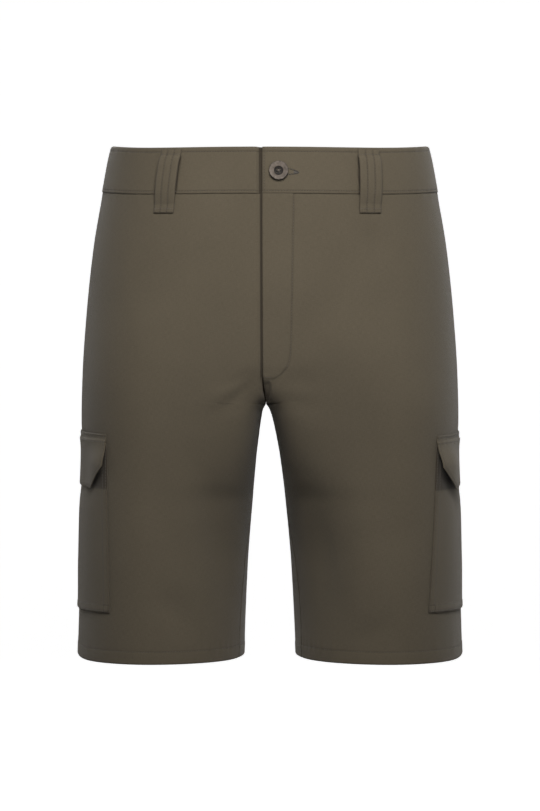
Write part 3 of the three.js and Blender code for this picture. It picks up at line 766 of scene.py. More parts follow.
# %% [markdown]
# ## Waistband
#
# The band is a stiffened double strip in two lengths, joined at the centre back. Its top is a fold, so
# the edge is round. The left end laps over the right one, which dips under it by the thickness of the
# band. Two rows of stitching run near its edges, and a third runs down the lapped end.

# %% Waistband
BAND_LAP = 40
BAND_ROW_TOP, BAND_ROW_BOTTOM, BAND_ROW_END = BAND_TOP - 5, BAND_BOTTOM + 2.6, 2
BAND_FOLD = 2.4
BAND_Z = steps(BAND_TOP, BAND_BOTTOM, 1.4, [
    (BAND_TOP - 2.4, BAND_TOP, 0.3), (BAND_ROW_TOP - 1.6, BAND_ROW_TOP + 1.6, 0.5),
    (BAND_BOTTOM, BAND_BOTTOM + 4, 0.5),
])


def band_relief(side, z, arc):
    """How far the band's outer face stands off the form."""
    fold = 1.3 * np.clip(1 - (BAND_TOP - z) / BAND_FOLD, 0, 1) ** 2
    roll = 0.4 * groove(z - BAND_BOTTOM, 0.7)
    rows = 0.35 * (groove(z - BAND_ROW_TOP, 0.7) + groove(z - BAND_ROW_BOTTOM, 0.7))
    swell = 0.5 * ripple(arc * 0.55, 4.1 + side) * groove(z - BAND_ROW_TOP, 5)
    pucker = 0.22 * ripple(arc, 5.3 + side) * (groove(z - BAND_ROW_BOTTOM, 4) + groove(z - BAND_ROW_TOP, 3.5))
    dip = (BAND_CLOTH + 2 * SEAM) * smooth(LAP_START, LAP_FULL, arc) if side < 0 else 0
    end = 0
    if side > 0:
        end = 0.9 * groove(arc, 0.7) + 0.25 * groove(arc - BAND_ROW_END, 0.7)
    return BAND_PROUD - fold - roll - rows + swell * 0.4 + pucker - dip - end


def band(side, seed):
    lines = [level(float(np.round(z, 3))) for z in BAND_Z]
    length = np.array([line["length"] for line in lines])[:, None] - SEAM / 2
    front = np.concatenate([-BAND_LAP * np.linspace(1, 0.05, 20), EDGE_STEPS]) if side < 0 else EDGE_STEPS
    marks = np.broadcast_to(front[None, :], (len(BAND_Z), len(front)))
    tail = length - EDGE_STEPS[::-1][None, :]
    share = np.linspace(0, 1, 330)[1:-1][None, :]
    arc = np.concatenate([marks, mix(marks[:, -1:], tail[:, :1], share), tail], axis=1)
    z = np.broadcast_to(BAND_Z[:, None], arc.shape)
    out = band_relief(side, z, arc) - 0.6 * groove(length - arc, 1)
    fold = 1.3 * np.clip(1 - (BAND_TOP - z) / BAND_FOLD, 0, 1) ** 2
    inner = out - BAND_CLOTH + 2 * fold + 0.9 * groove(z - BAND_BOTTOM, 1)
    # Painted shade: the seam, the centre back, the stitch rows, the top fold and the band under each loop are
    # darkened in colour.
    dark = np.maximum.reduce([
        0.35 * groove(z - BAND_BOTTOM, 0.6), 0.7 * groove(length - arc, 1),
        0.5 * groove(z - BAND_ROW_TOP, 0.6),
        0.4 * groove(z - BAND_ROW_BOTTOM, 0.6), 0.35 * groove(z - BAND_TOP, 0.6),
        painted_loop_shade(side, z, arc, length),
    ])
    # On the right end, painted shadow of the left end, under it and in a strip beside its edge; on the left
    # end, painted shade along its end row.
    if side < 0:
        dark = np.maximum(dark, smooth(3.6, 2.4, arc))
    else:
        dark = np.maximum(dark, 0.45 * groove(arc - BAND_ROW_END, 0.5))
    outer_face, _ = cloth(side, z, arc, out)
    inner_face, _ = cloth(side, z, arc, inner)
    name = f"cloth_waistband_{'left' if side > 0 else 'right'}"
    return wall(name, outer_face, inner_face, np.stack([z, arc], axis=-1), dark, twill_cloth)


bands = {"waistband_left": band(1, 0.9), "waistband_right": band(-1, 1.8)}
print("band rows", len(BAND_Z))

# %% [markdown]
# ## Belt loops
#
# A belt loop is a strip folded in three and stitched down twice along its length. Its ends are tacked to
# the band's top and below its seam, and between them it stands off the band, so that a belt can pass. Its
# two stitch rows sink a little and its long edges are round.

# %% Belt loops
LOOP_Z = steps(LOOP_TOP, LOOP_FOOT, 1.2, [(LOOP_TOP - 2, LOOP_TOP, 0.3), (LOOP_FOOT, LOOP_FOOT + 2, 0.3)])
LOOP_ACROSS = np.concatenate([
    [-1, -0.985, -0.95, -0.9, -0.82, -0.72, -0.6, -0.5, -0.42, -0.36, -0.33, -0.3, -0.24, -0.14, 0],
    [0.14, 0.24, 0.3, 0.33, 0.36, 0.42, 0.5, 0.6, 0.72, 0.82, 0.9, 0.95, 0.985, 1],
])


def loop_place(name, z, across, out):
    """Points of a loop's face: across is from its middle, in mm, and out is from its inner face."""
    side, behind, top, foot = BELT_LOOPS[name]
    off = np.vectorize(lambda height: follow(LOOP_STAND, "off", height))(z) + out
    if side == 0:
        length = np.vectorize(lambda height: level(float(np.round(height, 3)))["length"])(z)
        right, left = cloth(-1, z, length - np.abs(across), off), cloth(1, z, length - np.abs(across), off)
        choose = (across < 0)[..., None]
        return np.where(choose, right[0], left[0]), np.where(choose, right[1], left[1])
    return cloth(side, z, loop_middle(name, z) + across, off)


def belt_loop(name):
    z, across = np.meshgrid(LOOP_Z, LOOP_ACROSS * LOOP_WIDTH / 2, indexing="ij")
    from_side = LOOP_WIDTH / 2 - np.abs(across)
    from_end = np.minimum(LOOP_TOP - z, z - LOOP_FOOT)
    soft = 0.62 * groove(from_side, 0.9) + 0.6 * groove(from_end, 0.8)
    rows = 0.3 * groove(np.abs(across) - LOOP_ROW, 0.7)
    swell = 0.12 * ripple(z, len(name)) * groove(np.abs(across) - LOOP_ROW, 3)
    outer_face, _ = loop_place(name, z, across, LOOP_CLOTH - soft - rows + swell)
    inner_face, _ = loop_place(name, z, across, np.minimum(soft, 0.7) * 0.8)
    # Painted shade along the stitch rows, the long edges and the ends.
    dark = np.maximum.reduce([
        0.6 * groove(np.abs(across) - LOOP_ROW, 0.6), 0.8 * groove(from_side, 0.5),
        0.6 * groove(from_end, 0.5),
    ])
    cut = np.stack([across, z], axis=-1)
    return wall(f"cloth_{name}", outer_face, inner_face, cut, dark, twill_cloth)


loops = {name: belt_loop(name) for name in BELT_LOOPS}
print("loops", list(loops))

# %% [markdown]
# ## Cargo pockets and flaps
#
# The pockets are flat patches that wrap round the side of the thigh, with turned edges sewn down by two
# rows. Each flap is sewn on above the pocket's mouth with two rows, and its lower corners are mitred. The
# flap is free below, so its corners curl away from the pocket and throw a dark line under the mitre. The
# pocket is also painted dark as far down as the flap's straight lower edge and a little below it: painted
# shadow, which fills the corner under the mitre and lines the flap's foot.

# %% Cargo pockets
POCKET_TOP, POCKET_BOTTOM, POCKET_BACK, POCKET_MOUTH = -275, -448, 82, 10
POCKET_ROWS = (1.6, 7.4)
POCKET_BELLY = 0.9
FLAP_HEIGHT, FLAP_OVERHANG, FLAP_MITRE = 56.2, 1.5, 24.5
SIDES = {  # the arcs from the side seam to the pocket's front edge, and how its flap slants and curls
    "left": {
        "side": 1, "top": 94.2, "foot": 103,
        "flap": -263.2, "slope": 0.057, "curl": 8, "from": 31, "full": 79,
    },
    "right": {
        "side": -1, "top": 102, "foot": 100.8,
        "flap": -262.1, "slope": 0.042, "curl": 6.4, "from": 57, "full": 103,
    },
}
LEVEL_STEP = 2.0


def pocket_front(word, z):
    sizes = SIDES[word]
    return mix(sizes["top"], sizes["foot"], (POCKET_TOP - z) / (POCKET_TOP - POCKET_BOTTOM))


def flap_top(word, offset):
    return SIDES[word]["flap"] + SIDES[word]["slope"] * offset


def seam_arc(z):
    """The arc of the side seam for an array of heights."""
    heights, where = np.unique(np.round(z, 3), return_inverse=True)
    arcs = np.array([level(float(height))["seam"] for height in heights])
    return arcs[where].reshape(np.shape(z))


def beside_seam(word, z, offset, out):
    """Points and normals at arcs behind the side seam; a slanted edge is mixed from levels 2 mm apart."""
    z, offset, out = (np.asarray(v, float) for v in np.broadcast_arrays(z, offset, out))
    low = np.floor(z / LEVEL_STEP) * LEVEL_STEP
    share = ((z - low) / LEVEL_STEP)[..., None]
    side = SIDES[word]["side"]
    below, above = (cloth(side, height, seam_arc(height) + offset, out) for height in (low, low + LEVEL_STEP))
    return mix(below[0], above[0], share), mix(below[1], above[1], share)


def rows_near(distance):
    return groove(distance - POCKET_ROWS[0], 0.6) + groove(distance - POCKET_ROWS[1], 0.6)


def pocket(word, seed):
    fine = steps(0, 9, 0.6)
    down = np.concatenate([np.linspace(0, 0.94, 76)[:-1], np.linspace(0.94, 1, 18)])[:, None]
    middle = np.linspace(0, 1, 62)[1:-1]
    start, stop = -SIDES[word]["top"] + fine, POCKET_BACK - fine[::-1]
    at_top = np.concatenate([start, mix(start[-1], stop[0], middle), stop])[None, :]
    z = mix(flap_top(word, at_top) - POCKET_MOUTH, POCKET_BOTTOM, down)
    across = (at_top + SIDES[word]["top"]) / (POCKET_BACK + SIDES[word]["top"])
    offset = mix(-pocket_front(word, z), POCKET_BACK, across)
    from_side = np.minimum(offset + pocket_front(word, z), POCKET_BACK - offset)
    from_foot = z - POCKET_BOTTOM
    under_flap = flap_top(word, offset) - FLAP_HEIGHT - z
    rows = rows_near(from_side) + rows_near(from_foot)
    soft = 0.5 * groove(from_side, 0.7) + 0.5 * groove(from_foot, 0.7)
    turning = 0.35 * (smooth(8.6, 7.4, from_side) + smooth(8.6, 7.4, from_foot)) * smooth(-4, 4, under_flap)
    belly = POCKET_BELLY * smooth(6, 40, from_side) * smooth(4, 50, from_foot) * smooth(-3, 30, under_flap)
    pucker = 0.16 * ripple(z, seed) * groove(from_side, 9)
    pucker = pucker + 0.16 * ripple(offset, seed + 1) * groove(from_foot, 9)
    raised = np.minimum(turning, 0.35) + belly + pucker * smooth(-4, 6, under_flap)
    outer_face, _ = beside_seam(word, z, offset, SEAM + CLOTH - soft - 0.25 * rows + raised)
    inner_face, _ = beside_seam(word, z, offset, SEAM + belly * 0.9)
    # Painted shade along the rows and edges, and painted shadow over the pocket down to a little below the
    # flap's straight lower edge.
    dark = np.maximum.reduce([
        0.5 * rows, 0.5 * groove(from_side, 0.6), 0.5 * groove(from_foot, 0.6), smooth(1.5, -2, under_flap),
    ])
    cut = np.stack([offset, z], axis=-1)
    return wall(f"cloth_cargo_pocket_{word}", outer_face, inner_face, cut, dark, twill_cloth)


pockets = {f"cargo_pocket_{word}": pocket(word, seed) for word, seed in (("left", 0.4), ("right", 2.6))}
print("pockets", list(pockets))

# %% Flaps
FLAP_SEAM, FLAP_LIFT = 6, 0.3
FLAP_ROWS = (2.2, 7.8)  # from the flap's top
FLAP_EDGE_ROW = 2.7  # from its other edges
BACK_CURL, BACK_CURL_FROM = 4, 45
CURL_START, CURL_FULL = 6, 32  # below the flap's top


def flap_ends(word):
    return -pocket_front(word, POCKET_TOP) - FLAP_OVERHANG, POCKET_BACK + FLAP_OVERHANG


def flap_near_side(word, offset):
    front, back = flap_ends(word)
    return np.minimum(offset - front, back - offset)


def flap_curl(word, below, offset):
    """How far the flap's lower corners stand off the pocket."""
    sizes = SIDES[word]
    corner = sizes["curl"] * smooth(-sizes["from"], -sizes["full"], offset)
    corner = corner + BACK_CURL * smooth(BACK_CURL_FROM, POCKET_BACK, offset)
    return corner * smooth(CURL_START, CURL_FULL, below)


def flap_face(word, below, offset, out):
    """Points on a flap: below is the distance under its top edge, and out is from its inner face."""
    over = (CLOTH + SEAM) * smooth(FLAP_SEAM - 2, POCKET_MOUTH - 1.5, below)
    lift = FLAP_LIFT * smooth(POCKET_MOUTH, FLAP_HEIGHT, below) + flap_curl(word, below, offset)
    return beside_seam(word, flap_top(word, offset) - below, offset, SEAM + over + lift + out)


def flap(word, seed):
    front, back = flap_ends(word)
    half = np.concatenate([steps(0, 4.2, 0.5), steps(5, FLAP_MITRE, 1.2)])
    middle = np.linspace(front + FLAP_MITRE, back - FLAP_MITRE, 58)[1:-1]
    offset = np.concatenate([front + half, middle, back - half[::-1]])[None, :]
    near_side = flap_near_side(word, offset)
    foot = FLAP_HEIGHT - np.maximum(0, FLAP_MITRE - near_side)
    down = np.concatenate([
        np.linspace(0, 0.25, 26)[:-1], np.linspace(0.25, 0.88, 22)[:-1], np.linspace(0.88, 1, 10),
    ])
    below = foot * down[:, None]
    offset, near_side = np.broadcast_to(offset, below.shape), np.broadcast_to(near_side, below.shape)
    mitre = (near_side + FLAP_HEIGHT - below - FLAP_MITRE) / math.sqrt(2)
    margin = np.minimum.reduce([near_side, FLAP_HEIGHT - below, mitre])
    rows = groove(below - FLAP_ROWS[0], 0.6) + groove(below - FLAP_ROWS[1], 0.6)
    edge_row = groove(margin - FLAP_EDGE_ROW, 0.6) * smooth(2, 4, below)
    soft = 0.5 * groove(margin, 0.6) + 0.5 * groove(below, 0.6)
    pucker = 0.2 * ripple(offset, seed) * groove(below - 5, 6)
    pucker = pucker + 0.12 * ripple(below + offset, seed) * groove(margin, 5)
    out = FLAP_CLOTH - soft - 0.28 * rows - 0.22 * edge_row + pucker
    outer_face, _ = flap_face(word, below, offset, out)
    inner_face, _ = flap_face(word, below, offset, 0.4 * groove(margin, 0.6))
    # Painted shade along the stitch rows, the top seam and the edges.
    dark = np.maximum.reduce([
        0.6 * rows, 0.5 * edge_row, 0.7 * groove(below, 0.6), 0.3 * groove(margin, 0.4),
    ])
    cut = np.stack([offset, -below], axis=-1)
    return wall(f"cloth_cargo_flap_{word}", outer_face, inner_face, cut, dark, twill_cloth)


flaps = {f"cargo_flap_{word}": flap(word, seed) for word, seed in (("left", 1.3), ("right", 3.1))}
print("flaps", list(flaps))

# %% [markdown]
# ## Stitches
#
# A stitch row drawn in a material looks flat as soon as light rakes across it. Here each stitch is a
# short thread that dives into the cloth at both ends. One template of a few rings is bent along the row
# for every stitch at once, and all the stitches of a part are one mesh.

# %% Stitches
STITCH_PITCH, STITCH_LENGTH, THREAD_RADIUS = 2.9, 2.35, 0.23
RING_SIDES = 6
RINGS = table("z rise width", [  # z runs from 1 to -1 along a stitch
    (1, -0.32, 0.45), (0.72, 0.02, 0.9), (0.3, 0.16, 1), (-0.3, 0.16, 1),
    (-0.72, 0.02, 0.9), (-1, -0.32, 0.45),
])


def run_stitches(path, normals, pitch=STITCH_PITCH, length=STITCH_LENGTH, radius=THREAD_RADIUS):
    """Rings of every stitch along a path: an array (stitches, rings, sides, 3)."""
    gone = np.concatenate([[0], np.cumsum(np.linalg.norm(np.diff(path, axis=0), axis=1))])
    count = max(1, int((gone[-1] - length) / pitch) + 1)
    middle = (np.arange(count) + 0.5) * gone[-1] / count
    place = middle[:, None] + RINGS["z"][None, :] * length / 2
    centre, up = (
        np.stack([np.interp(place, gone, part[:, axis]) for axis in range(3)], axis=-1)
        for part in (path, normals)
    )
    up /= np.linalg.norm(up, axis=-1, keepdims=True)
    ahead = np.gradient(centre, axis=1)
    ahead /= np.maximum(np.linalg.norm(ahead, axis=-1, keepdims=True), 1e-9)
    aside = np.cross(ahead, up)
    centre = centre + up * (RINGS["rise"] * radius / THREAD_RADIUS)[None, :, None]
    angle = np.arange(RING_SIDES) * TURN / RING_SIDES
    ring = np.cos(angle)[:, None] * aside[..., None, :] + np.sin(angle)[:, None] * up[..., None, :]
    return centre[..., None, :] + ring * (radius * RINGS["width"])[None, :, None, None]


def thread_mesh(name, groups, material):
    """One mesh of all the stitches in groups of rings."""
    rings = np.concatenate([group for group in groups if len(group)])
    count, along, sides = rings.shape[:3]
    index = np.arange(count * along * sides).reshape(count, along, sides)
    turned = np.roll(index, -1, axis=2)
    tube = np.stack([index[:, :-1], index[:, 1:], turned[:, 1:], turned[:, :-1]], axis=-1).reshape(-1, 4)
    half = sides // 2
    caps = []
    for end, flip in ((index[:, 0], 1), (index[:, -1], -1)):
        for n in range(half - 1):
            quad = np.stack([end[:, n], end[:, n + 1], end[:, sides - 2 - n], end[:, sides - 1 - n]], axis=-1)
            caps.append(quad[:, ::flip])
    obj = mesh_object(name, rings.reshape(-1, 3), np.concatenate([tube, *caps]), material)
    print(name, count, "stitches")
    return obj


def line_on(face, zs, places, lift=0.02):
    """A path on a face, from its heights and its places across, and the normals along it."""
    zs, places = np.broadcast_arrays(np.asarray(zs, float), np.asarray(places, float))
    return face(zs, places, lift)


# %% [markdown]
# ### Stitch rows of the band, the fly and the loops
#
# Each row is a path in the same coordinates as the piece that it holds, so it lies on that piece wherever
# the cloth goes. The fly's row runs down beside the turning and hooks in to the fly's end. Short dense
# bars, tacked across a loop's ends, take the load there.


# %% Rows of the band, the fly and the loops
def band_line(side):
    return lambda z, arc, lift: cloth(side, z, arc, band_relief(side, z, arc) + lift)


def span(start, stop, step=1.0):
    return np.linspace(start, stop, max(2, int(abs(stop - start) / step)))


def band_rows():
    groups = []
    for side in (1, -1):
        for z in (BAND_ROW_TOP, BAND_ROW_BOTTOM):
            arcs = span(BAND_ROW_END if side > 0 else LAP_START - 1, level(float(z))["length"] - 1.5)
            groups.append(run_stitches(*line_on(band_line(side), z, arcs)))
    zs = span(BAND_ROW_TOP - 1.5, BAND_ROW_BOTTOM + 1.5)
    groups.append(run_stitches(*line_on(band_line(1), zs, BAND_ROW_END)))
    return groups


def front_face(side):
    def face(z, arc, lift):
        relief = fly_relief(z, arc) if side > 0 else 0
        return cloth(side, z, arc, relief + lift)
    return face


FLY_BAR = 9


def fly_rows():
    zs = span(PANEL_TOP - 1, FLY_ROW["z"][-1], 0.6)
    hook = run_stitches(*line_on(front_face(1), zs, fly_row_arc(zs)))
    end = run_stitches(*line_on(front_face(1), FLY_END - 1, span(1, FLY_BAR)), pitch=1.2, length=1.5)
    return [hook, end]


def loop_rows():
    groups = []
    for name in BELT_LOOPS:
        face = functools.partial(loop_place, name)
        for across in (-LOOP_ROW, LOOP_ROW):
            zs = span(LOOP_TOP - 1.2, LOOP_FOOT + 1.2)
            groups.append(run_stitches(*face(zs, np.full_like(zs, across), LOOP_CLOTH - 0.24)))
        for z in (LOOP_FOOT + 4, LOOP_TOP - LOOP_TACKED):
            across = span(-LOOP_WIDTH / 2 + 0.8, LOOP_WIDTH / 2 - 0.8, 0.5)
            bar = face(np.full_like(across, z), across, LOOP_CLOTH)
            groups.append(run_stitches(*bar, pitch=0.9, length=1.3))
    return groups


sewn_band = thread_mesh("stitches_waistband", band_rows(), twill_thread)
sewn_fly = thread_mesh("stitches_fly", fly_rows(), twill_thread)
sewn_loops = thread_mesh("stitches_belt_loops", loop_rows(), twill_thread)


# %% Rows of the pockets, the flaps and the hems
def pocket_rows():
    groups = []
    for word in SIDES:
        for row in POCKET_ROWS:
            front = -pocket_front(word, POCKET_TOP)
            zs = span(flap_top(word, front) - POCKET_MOUTH - 1, POCKET_BOTTOM + row)
            across = span(-pocket_front(word, POCKET_BOTTOM) + row, POCKET_BACK - row)
            out = SEAM + CLOTH
            groups.append(run_stitches(*beside_seam(word, zs, -pocket_front(word, zs) + row, out)))
            groups.append(run_stitches(*beside_seam(word, zs, POCKET_BACK - row, out)))
            groups.append(run_stitches(*beside_seam(word, POCKET_BOTTOM + row, across, out)))
    return groups


def flap_rows():
    groups = []
    corner = FLAP_MITRE + FLAP_EDGE_ROW * (math.sqrt(2) - 1)
    for word in SIDES:
        front, back = flap_ends(word)
        for row in FLAP_ROWS:
            sewn = flap_face(word, row, span(front + 1.5, back - 1.5), FLAP_CLOTH - 0.1)
            groups.append(run_stitches(*sewn))
        near, far = front + FLAP_EDGE_ROW, back - FLAP_EDGE_ROW
        low, foot = FLAP_HEIGHT - corner, FLAP_HEIGHT - FLAP_EDGE_ROW
        outline = [(near, 3), (near, low), (front + corner, foot), (back - corner, foot), (far, low), (far, 3)]
        for (x0, y0), (x1, y1) in zip(outline[:-1], outline[1:]):
            t = span(0, 1, 1 / math.hypot(x1 - x0, y1 - y0))
            groups.append(run_stitches(*flap_face(word, mix(y0, y1, t), mix(x0, x1, t), FLAP_CLOTH - 0.1)))
    return groups


def hem_rows():
    z = float(HEM + HEM_DEPTH)
    groups = []
    for side, seeds in ((1, (0.3, 2.4)), (-1, (1.1, 3.7))):
        line, turn = level(z), float(inseam_turn(np.array(z)))
        spans = [(turn + 1, line["seam"] - 1), (line["seam"] + 1, line["length"] + turn - 1)]
        for (start, stop), seed in zip(spans, seeds):
            arcs = span(start, stop)
            groups.append(run_stitches(*cloth(side, z, arcs, hem_relief(z, arcs, seed) + 0.04)))
    return groups


sewn_pockets = thread_mesh("stitches_cargo_pockets", pocket_rows(), twill_thread)
sewn_flaps = thread_mesh("stitches_cargo_flaps", flap_rows(), twill_thread)
sewn_hems = thread_mesh("stitches_hems", hem_rows(), twill_thread)

# %% [markdown]
# ## The button and its buttonhole
#
# The button is turned: a profile of rim, dish and back is spun round, and four holes are cut through the
# dish. It is sewn on with crossed threads, and it sits on the lapped end of the band with its thread
# through a keyhole buttonhole, of which the outer end shows. The buttonhole is a slit with dense stitches
# all round it, and the opening at its end is a thin dark sheet of painted shade.

# %% Button
BUTTON = {"across": 8.6, "height": -1, "radius": 9.9, "thick": 3.2, "dish": 4.4, "hole": 0.95, "spread": 1.5}
BUTTON_BOW, BUTTON_BACK, BUTTON_FLOOR = 0.2, 7.1, 0.95
BUTTON_SIDES = 96


def button_seat():
    """The middle of the button's back and the band's outward direction there."""
    arc = arc_across(1, float(BUTTON["height"]), BUTTON["across"], False)
    place, normal = cloth(1, [float(BUTTON["height"])], [arc], BAND_PROUD + SEAM + BUTTON_BOW)
    return place[0], normal[0]


def lathe(profile, sides):
    """Points and faces of a profile of (radius, height) spun round; it starts and ends on the axis."""
    angle = np.arange(sides) * TURN / sides
    rings = [[(r * math.cos(a), r * math.sin(a), h) for a in angle] for r, h in profile[1:-1]]
    points = [(0, 0, profile[0][1])] + [p for ring in rings for p in ring] + [(0, 0, profile[-1][1])]
    faces = [[0, 1 + (n + 1) % sides, 1 + n] for n in range(sides)]
    for level_index in range(len(rings) - 1):
        low, high = 1 + level_index * sides, 1 + (level_index + 1) * sides
        faces += [[low + n, low + (n + 1) % sides, high + (n + 1) % sides, high + n] for n in range(sides)]
    last, tip = 1 + (len(rings) - 1) * sides, len(points) - 1
    faces += [[last + n, last + (n + 1) % sides, tip] for n in range(sides)]
    return points, faces


def solid_of(name, points, faces, material):
    mesh = bpy.data.meshes.new(name)
    mesh.from_pydata([tuple(v * MM for v in p) for p in points], [], faces)
    mesh.materials.append(material)
    obj = bpy.data.objects.new(name, mesh)
    bpy.context.scene.collection.objects.link(obj)
    return obj


def turned_button():
    radius, thick, dish = BUTTON["radius"], BUTTON["thick"], BUTTON["dish"]
    profile = [
        (0, 0), (BUTTON_BACK, 0), (radius - 0.9, 0.75), (radius - 0.15, 1.25), (radius, 1.6), (radius, 2.1),
        (radius - 0.15, 2.65), (radius - 0.45, 3.05), (radius - 0.9, thick), (radius - 1.3, 3.1),
        (dish + 1.1, 1.75), (dish + 0.6, 1.55), (dish + 0.2, 1.35), (dish - 0.2, 1.05), (0, BUTTON_FLOOR),
    ]
    body = solid_of("button_four_hole", *lathe(profile, BUTTON_SIDES), button_resin)
    for sx, sy in ((1, 1), (1, -1), (-1, 1), (-1, -1)):
        hole_profile = [(0, -4), (BUTTON["hole"], -4), (BUTTON["hole"], 8), (0, 8)]
        points, faces = lathe(hole_profile, 28)
        place = [(p[0] + sx * BUTTON["spread"], p[1] + sy * BUTTON["spread"], p[2]) for p in points]
        hole = solid_of("hole", place, faces, button_resin)
        cut = body.modifiers.new("cut", "BOOLEAN")
        cut.operation, cut.object, cut.solver = "DIFFERENCE", hole, "EXACT"
        with bpy.context.temp_override(object=body, active_object=body):
            bpy.ops.object.modifier_apply(modifier="cut")
        bpy.data.objects.remove(hole)
    mesh = body.data
    count = len(mesh.vertices)
    flat = np.empty(count * 3)
    mesh.vertices.foreach_get("co", flat)
    flat = flat.reshape(-1, 3) / MM
    reach = np.hypot(flat[:, 0], flat[:, 1])
    # Painted shade: the dish is made near black and the groove round the rim darker.
    dark = smooth(dish + 0.5, dish - 0.2, reach) + 0.5 * groove(reach - radius, 0.5)
    attribute = mesh.attributes.new("edge", "FLOAT", "POINT")
    attribute.data.foreach_set("value", np.minimum(dark, 1).astype(np.float32))
    mesh.polygons.foreach_set("use_smooth", [True] * len(mesh.polygons))
    mesh.set_sharp_from_angle(angle=math.radians(38))
    return body


def set_on_seat(obj, seat, outward):
    """Turns a mesh made round +Z so that it lies on the seat, and moves it there."""
    turn = Vector((0, 0, 1)).rotation_difference(Vector(outward))
    obj.data.transform(turn.to_matrix().to_4x4())
    obj.data.transform(Matrix.Translation(Vector(seat) * MM))


seat, outward = button_seat()
button = turned_button()
set_on_seat(button, seat, outward)
print("button points", len(button.data.vertices))


# %% Button threads and buttonhole
def crossed_threads():
    """Threads from hole to hole over the dish, in the button's own place; the last pair lies on top."""
    groups = []
    spread = BUTTON["spread"]
    for rising, high in ((-1, 0.5), (1, 0.95)):
        for aside in (-0.27, 0.27):
            t = np.linspace(0, 1, 24)
            x = mix(-1, 1, t) * spread + aside
            y = mix(-1, 1, t) * spread * rising - aside * rising
            z = BUTTON_FLOOR + high * np.sin(math.pi * t) ** 0.6 - 1.2 * groove(np.minimum(t, 1 - t), 0.05)
            up = np.tile([0.0, 0.0, 1.0], (len(t), 1))
            path = np.stack([x, y, z], axis=1)
            groups.append(run_stitches(path, up, pitch=50, length=4.6, radius=0.32))
    return groups


def turn_to_seat(rings):
    turn = Vector((0, 0, 1)).rotation_difference(Vector(outward))
    matrix = np.array(turn.to_matrix())
    return rings @ matrix.T + np.asarray(seat)


BUTTONHOLE = table("z half middle", [  # z is the place across; half the width and the middle's height there
    (29, 0.5, -2.7), (27.3, 1.1, -2.5), (24.5, 1.8, -2.2),
    (21, 2.7, -1.8), (17.6, 3.2, -1.5), (14, 3.6, -1.2),
])
SLIT_START = 23


def buttonhole_outline(grow, start, count):
    """A teardrop that opens towards the button, as places across and heights."""
    tip = BUTTONHOLE["z"][0] + grow
    x = mix(start, tip, np.sin(np.linspace(0, math.pi / 2, count)))
    half, middle = (np.interp(-x, -BUTTONHOLE["z"], BUTTONHOLE[key]) for key in ("half", "middle"))
    half = (half + grow) * np.sqrt(np.clip((tip - x) / 1.2, 0, 1))
    return np.concatenate([x, x[::-1]]), np.concatenate([middle + half, (middle - half)[::-1]])


def band_point(x, height, lift):
    """A point on the band's face by its place across and its height."""
    arcs = np.linspace(0, 60, 1200)
    arc = np.interp(x, bare(1, float(BUTTON["height"]), arcs)[:, 0], arcs)
    return cloth(1, np.round(height, 2), arc, BAND_PROUD + lift)


def buttonhole():
    """Stitches laid across the edge of the slit, all the way round."""
    inner_x, inner_z = buttonhole_outline(-0.55, BUTTONHOLE["z"][-1], 30)
    outer_x, outer_z = buttonhole_outline(0.6, BUTTONHOLE["z"][-1], 30)
    groups = []
    for x0, z0, x1, z1 in zip(inner_x, inner_z, outer_x, outer_z):
        t = np.linspace(0, 1, 6)
        path, normals = band_point(mix(x0, x1, t), mix(z0, z1, t), 0.14 + 0.18 * np.sin(math.pi * t))
        groups.append(run_stitches(path, normals, pitch=50, length=1.3, radius=0.24))
    return groups


def slit():
    """A thin dished patch in the dark thread finish, laid in the buttonhole's opening at its end: painted
    shade.
    """
    x, z = buttonhole_outline(-0.4, SLIT_START, 20)
    middle = np.interp(-x, -BUTTONHOLE["z"], BUTTONHOLE["middle"])
    rim, _ = band_point(x, mix(middle, z, smooth(SLIT_START, SLIT_START + 2, x)), 0.06)
    core, _ = band_point(x, middle, 0.03)
    points = np.concatenate([rim, core])
    count = len(x)
    faces = [[n, n + 1, count + n + 1, count + n] for n in range(count - 1)]
    # The dark sheet stands in for the shade inside the opening: painted shade.
    return mesh_object("buttonhole_opening_painted_shade", points, faces, dark_thread_and_slit_shade)


sewn_button = thread_mesh("button_threads", [turn_to_seat(g) for g in crossed_threads()], pale_thread)
sewn_hole = thread_mesh("stitches_buttonhole", buttonhole(), dark_thread_and_slit_shade)
slit_painted_shade = slit()

# %% [markdown]
# ## Fastening the pieces to the frame
#
# Every new piece rides on the one body, and each one that is made again stands for the solid that it
# replaces, which is hidden.

# %% Ride and replace
for group in (panels, bands, loops, pockets, flaps):
    for node, piece in group.items():
        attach(piece, "root")
        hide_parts(node)
stitching = (sewn_band, sewn_fly, sewn_loops, sewn_pockets, sewn_flaps, sewn_hems, sewn_button, sewn_hole)
for piece in (*stitching, slit_painted_shade):
    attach(piece, "root")
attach(button, "root")
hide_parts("button")

# %% [markdown]
# ## Floor and light
#
# The garment hangs in a pale studio. A wide floor runs up behind into a wall on every side, so no edge
# shows from any angle. One broad light stands high in front and is aimed over the waist, so the cloth is
# lighter there than at the hem. A like one stands behind, and weaker ones at the sides keep those from
# going black.

# %% Studio
FLOOR_Z, ROOM_RADIUS, ROOM_BEND, ROOM_TOP = -820, 4200, 900, 3400


def room_finish():
    finish = Finish("pale room")
    body = finish.add("ShaderNodeTexCoord", output=3)
    cloud = finish.add("ShaderNodeTexNoise", Vector=body, Scale=0.7, Detail=2.0)
    paint = cloud.blend((0.86, 0.86, 0.855, 1), (0.9, 0.9, 0.895, 1))
    return finish.shade(Base_Color=paint, Roughness=0.9, Emission_Color=(1, 1, 1, 1), Emission_Strength=0.85)


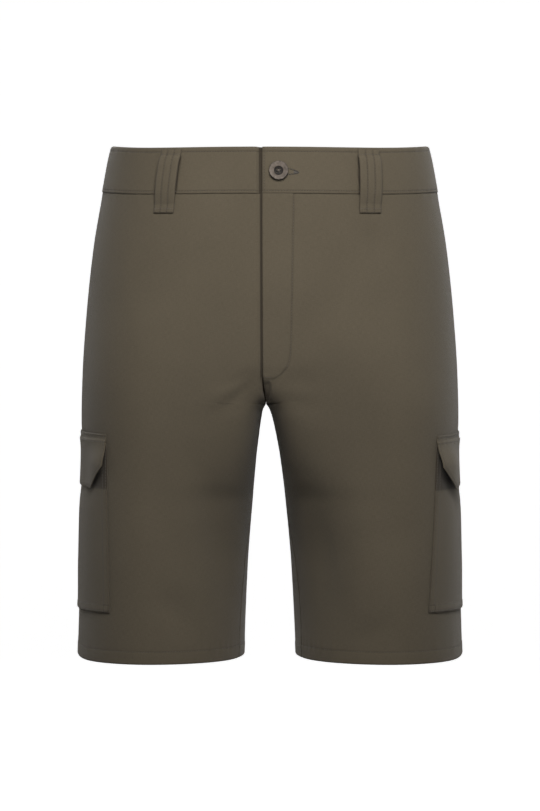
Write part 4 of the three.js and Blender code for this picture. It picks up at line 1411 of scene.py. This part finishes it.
def room():
    bend = np.linspace(0, math.pi / 2, 14)
    straight = ROOM_RADIUS - ROOM_BEND
    profile = [(0, FLOOR_Z), (straight * 0.5, FLOOR_Z)]
    profile += [(straight + ROOM_BEND * math.sin(a), FLOOR_Z + ROOM_BEND * (1 - math.cos(a))) for a in bend]
    profile += [(ROOM_RADIUS, ROOM_TOP), (0, ROOM_TOP)]
    points, faces = lathe(profile, 96)
    faces = [face for face in faces[:-96]]
    obj = solid_of("studio_room", points, [face[::-1] for face in faces], room_finish())
    obj.data.polygons.foreach_set("use_smooth", [True] * len(obj.data.polygons))
    obj.visible_diffuse = False
    return obj


def area_light(name, place, aim, size, power, colour=(1, 1, 1)):
    data = bpy.data.lights.new(name, "AREA")
    data.shape, data.size, data.energy, data.color = "DISK", size, power, colour
    lamp = bpy.data.objects.new(name, data)
    bpy.context.scene.collection.objects.link(lamp)
    lamp.location = place
    lamp.visible_camera = False
    lamp.rotation_euler = (Vector(aim) - Vector(place)).to_track_quat("-Z", "Y").to_euler()
    return lamp


studio = room()
area_light("key", (0.1, -1.32, 0.75), (0.0, -0.12, 0.58), 0.8, 27.5)
area_light("right_fill", (1.9, -0.9, 0.3), (0, 0, -0.2), 1.2, 2)
area_light("left_high", (-1.1, -0.4, 0.6), (0, 0, 0.1), 0.5, 0.3)
area_light("right_high", (1.1, -0.4, 0.6), (0, 0, 0.1), 0.5, 0.2)
area_light("left_behind", (-1.2, 1.3, 0.45), (0, 0, -0.2), 1, 6)
area_light("right_behind", (1.25, 1.25, 0.45), (0, 0, -0.2), 1, 6)
area_light("back_key", (-0.1, 1.4, 0.75), (0.0, 0.12, 0.5), 0.8, 27.5)
world = bpy.data.worlds.new("studio air")
world.use_nodes = True
world.node_tree.nodes["Background"].inputs["Color"].default_value = (1, 1, 1, 1)
world.node_tree.nodes["Background"].inputs["Strength"].default_value = 0.066
bpy.context.scene.world = world
bpy.context.scene.view_settings.view_transform = "Standard"
print("room radius", ROOM_RADIUS, "mm")
